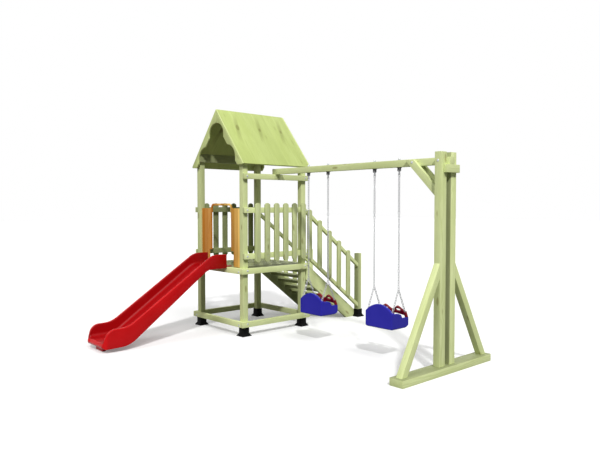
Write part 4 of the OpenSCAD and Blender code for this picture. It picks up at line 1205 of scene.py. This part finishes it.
for swing in ("swing_1", "swing_2"):
    seat_low, seat_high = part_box(swing + "_seat")
    chain_low, chain_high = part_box(swing + "_chains")
    swing_y = (seat_low.y + seat_high.y) / 2
    chain_half = (chain_high.y - chain_low.y) / 2 - RING_R - RING_WIRE
    hung = chain_high.z - RING_R - RING_WIRE
    eyes = [Vector((tower_x + x, 0, z)) for x, z in (FRONT_EYE, BACK_EYE)]
    lines, edges = [], []
    rings = bmesh.new()
    for side in (-1, 1):
        y = Vector((0, swing_y + side * chain_half, 0))
        split = Vector((tower_x, 0, RING_Z)) + y
        top = Vector((tower_x, 0, hung)) + y
        stretches = [(top + down * reach, split - down * reach)]
        for eye in eyes:
            way = (eye + y - split).normalized()
            stretches.append((split + way * reach, eye + y - way * 0.004))
            tube_loop(rings, ring_line(eye + y - way * 0.003, CROSSWAYS, EYE_R, 16), EYE_WIRE)
        for start, stop in stretches:
            lines += [start, stop]
            edges.append((len(lines) - 2, len(lines) - 1))
        tube_loop(rings, ring_line(top, LENGTHWAYS, RING_R), RING_WIRE)
        tube_loop(rings, ring_line(split, CROSSWAYS, RING_R), RING_WIRE)
    host = bpy.data.meshes.new(swing + "_runs")
    host.from_pydata(lines, edges, [])
    values = {"Link": link_piece, "Pitch": LINK_PITCH, "Finish": chain_grey}
    chain = grown(swing + "_chain_links", chain_tree, chain_keys, values, host)
    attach(chain, swing)
    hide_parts(swing + "_chains")
    ring_piece = fitting(swing + "_rings", rings, chain_grey)
    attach(ring_piece, swing)
    worked_copy(swing + "_hooks", chain_grey, swing, [rounding(0.0012, 2, 50)])
    worked_copy(swing + "_seat", seat_blue, swing, [seat_mould, rubbed_round])
    worked_copy(swing + "_bar", bar_red, swing + "_bar", [bar_mould, rubbed_round])
bpy.data.objects.remove(link_piece)

# Floor and light: a plain studio floor that keeps the shadows, under a weak even sky.
# A crisp key light comes from behind the camera, two soft fills from the sides, a weak one from behind.
# The floor and the sky look white to the camera.
def seen_white(tree):
    """1 for a ray that shows the studio itself: straight, off a gloss or through a clear piece."""
    rays = put(tree, "ShaderNodeLightPath", {}).outputs
    bounced = calc(tree, "MAXIMUM", rays["Is Glossy Ray"], rays["Is Transmission Ray"])
    return calc(tree, "MAXIMUM", rays["Is Camera Ray"], bounced)


floor_mesh = bpy.data.meshes.new("floor")
FLOOR = 60.0
floor_corners = [(-FLOOR, -FLOOR, 0), (FLOOR, -FLOOR, 0), (FLOOR, FLOOR, 0), (-FLOOR, FLOOR, 0)]
floor_mesh.from_pydata(floor_corners, [], [(0, 1, 2, 3)])
floor_white, tree, surface = material("floor_white")
surface.inputs["Base Color"].default_value = (0.2, 0.2, 0.2, 1)
surface.inputs["Roughness"].default_value = 0.9
surface.inputs["Specular IOR Level"].default_value = 0.0
paper = put(tree, "ShaderNodeBsdfDiffuse", {"Color": (0.8, 0.8, 0.8, 1)})
lift = put(tree, "ShaderNodeEmission", {"Color": (1, 1, 1, 1), "Strength": 0.2})
lifted = put(tree, "ShaderNodeAddShader", {0: paper.outputs[0], 1: lift.outputs[0]})
shown = {0: seen_white(tree), 1: surface.outputs[0], 2: lifted.outputs[0]}
choice = put(tree, "ShaderNodeMixShader", shown)
tree.links.new(choice.outputs[0], tree.nodes["Material Output"].inputs["Surface"])
floor_mesh.materials.append(floor_white)
floor = bpy.data.objects.new("floor", floor_mesh)
scene.collection.objects.link(floor)

world = bpy.data.worlds.new("studio")
scene.world = world
world.use_nodes = True
sky = world.node_tree
even = sky.nodes["Background"]
even.inputs["Color"].default_value = (1, 1, 1, 1)
even.inputs["Strength"].default_value = 0.1
white = put(sky, "ShaderNodeBackground", {"Color": (1, 1, 1, 1), "Strength": 1.0})
shown = {0: seen_white(sky), 1: even.outputs[0], 2: white.outputs[0]}
both = put(sky, "ShaderNodeMixShader", shown)
sky.links.new(both.outputs[0], sky.nodes["World Output"].inputs["Surface"])


def sun(name, strength, spread, travel):
    """A sun lamp whose light travels the given way, softened by its spread in degrees."""
    data = bpy.data.lights.new(name, "SUN")
    data.energy = strength
    data.angle = math.radians(spread)
    lamp = bpy.data.objects.new(name, data)
    lamp.rotation_euler = Vector(travel).to_track_quat("-Z", "Y").to_euler()
    scene.collection.objects.link(lamp)


sun("key", strength=2.1, spread=4, travel=(0.422, 0.596, -0.683))
sun("fill_swing_side", strength=1.25, spread=30, travel=(0.0, 0.643, -0.766))
sun("fill_slide_side", strength=1.1, spread=30, travel=(0.819, 0.0, -0.574))
sun("fill_back", strength=0.9, spread=60, travel=(-0.61, -0.61, -0.5))
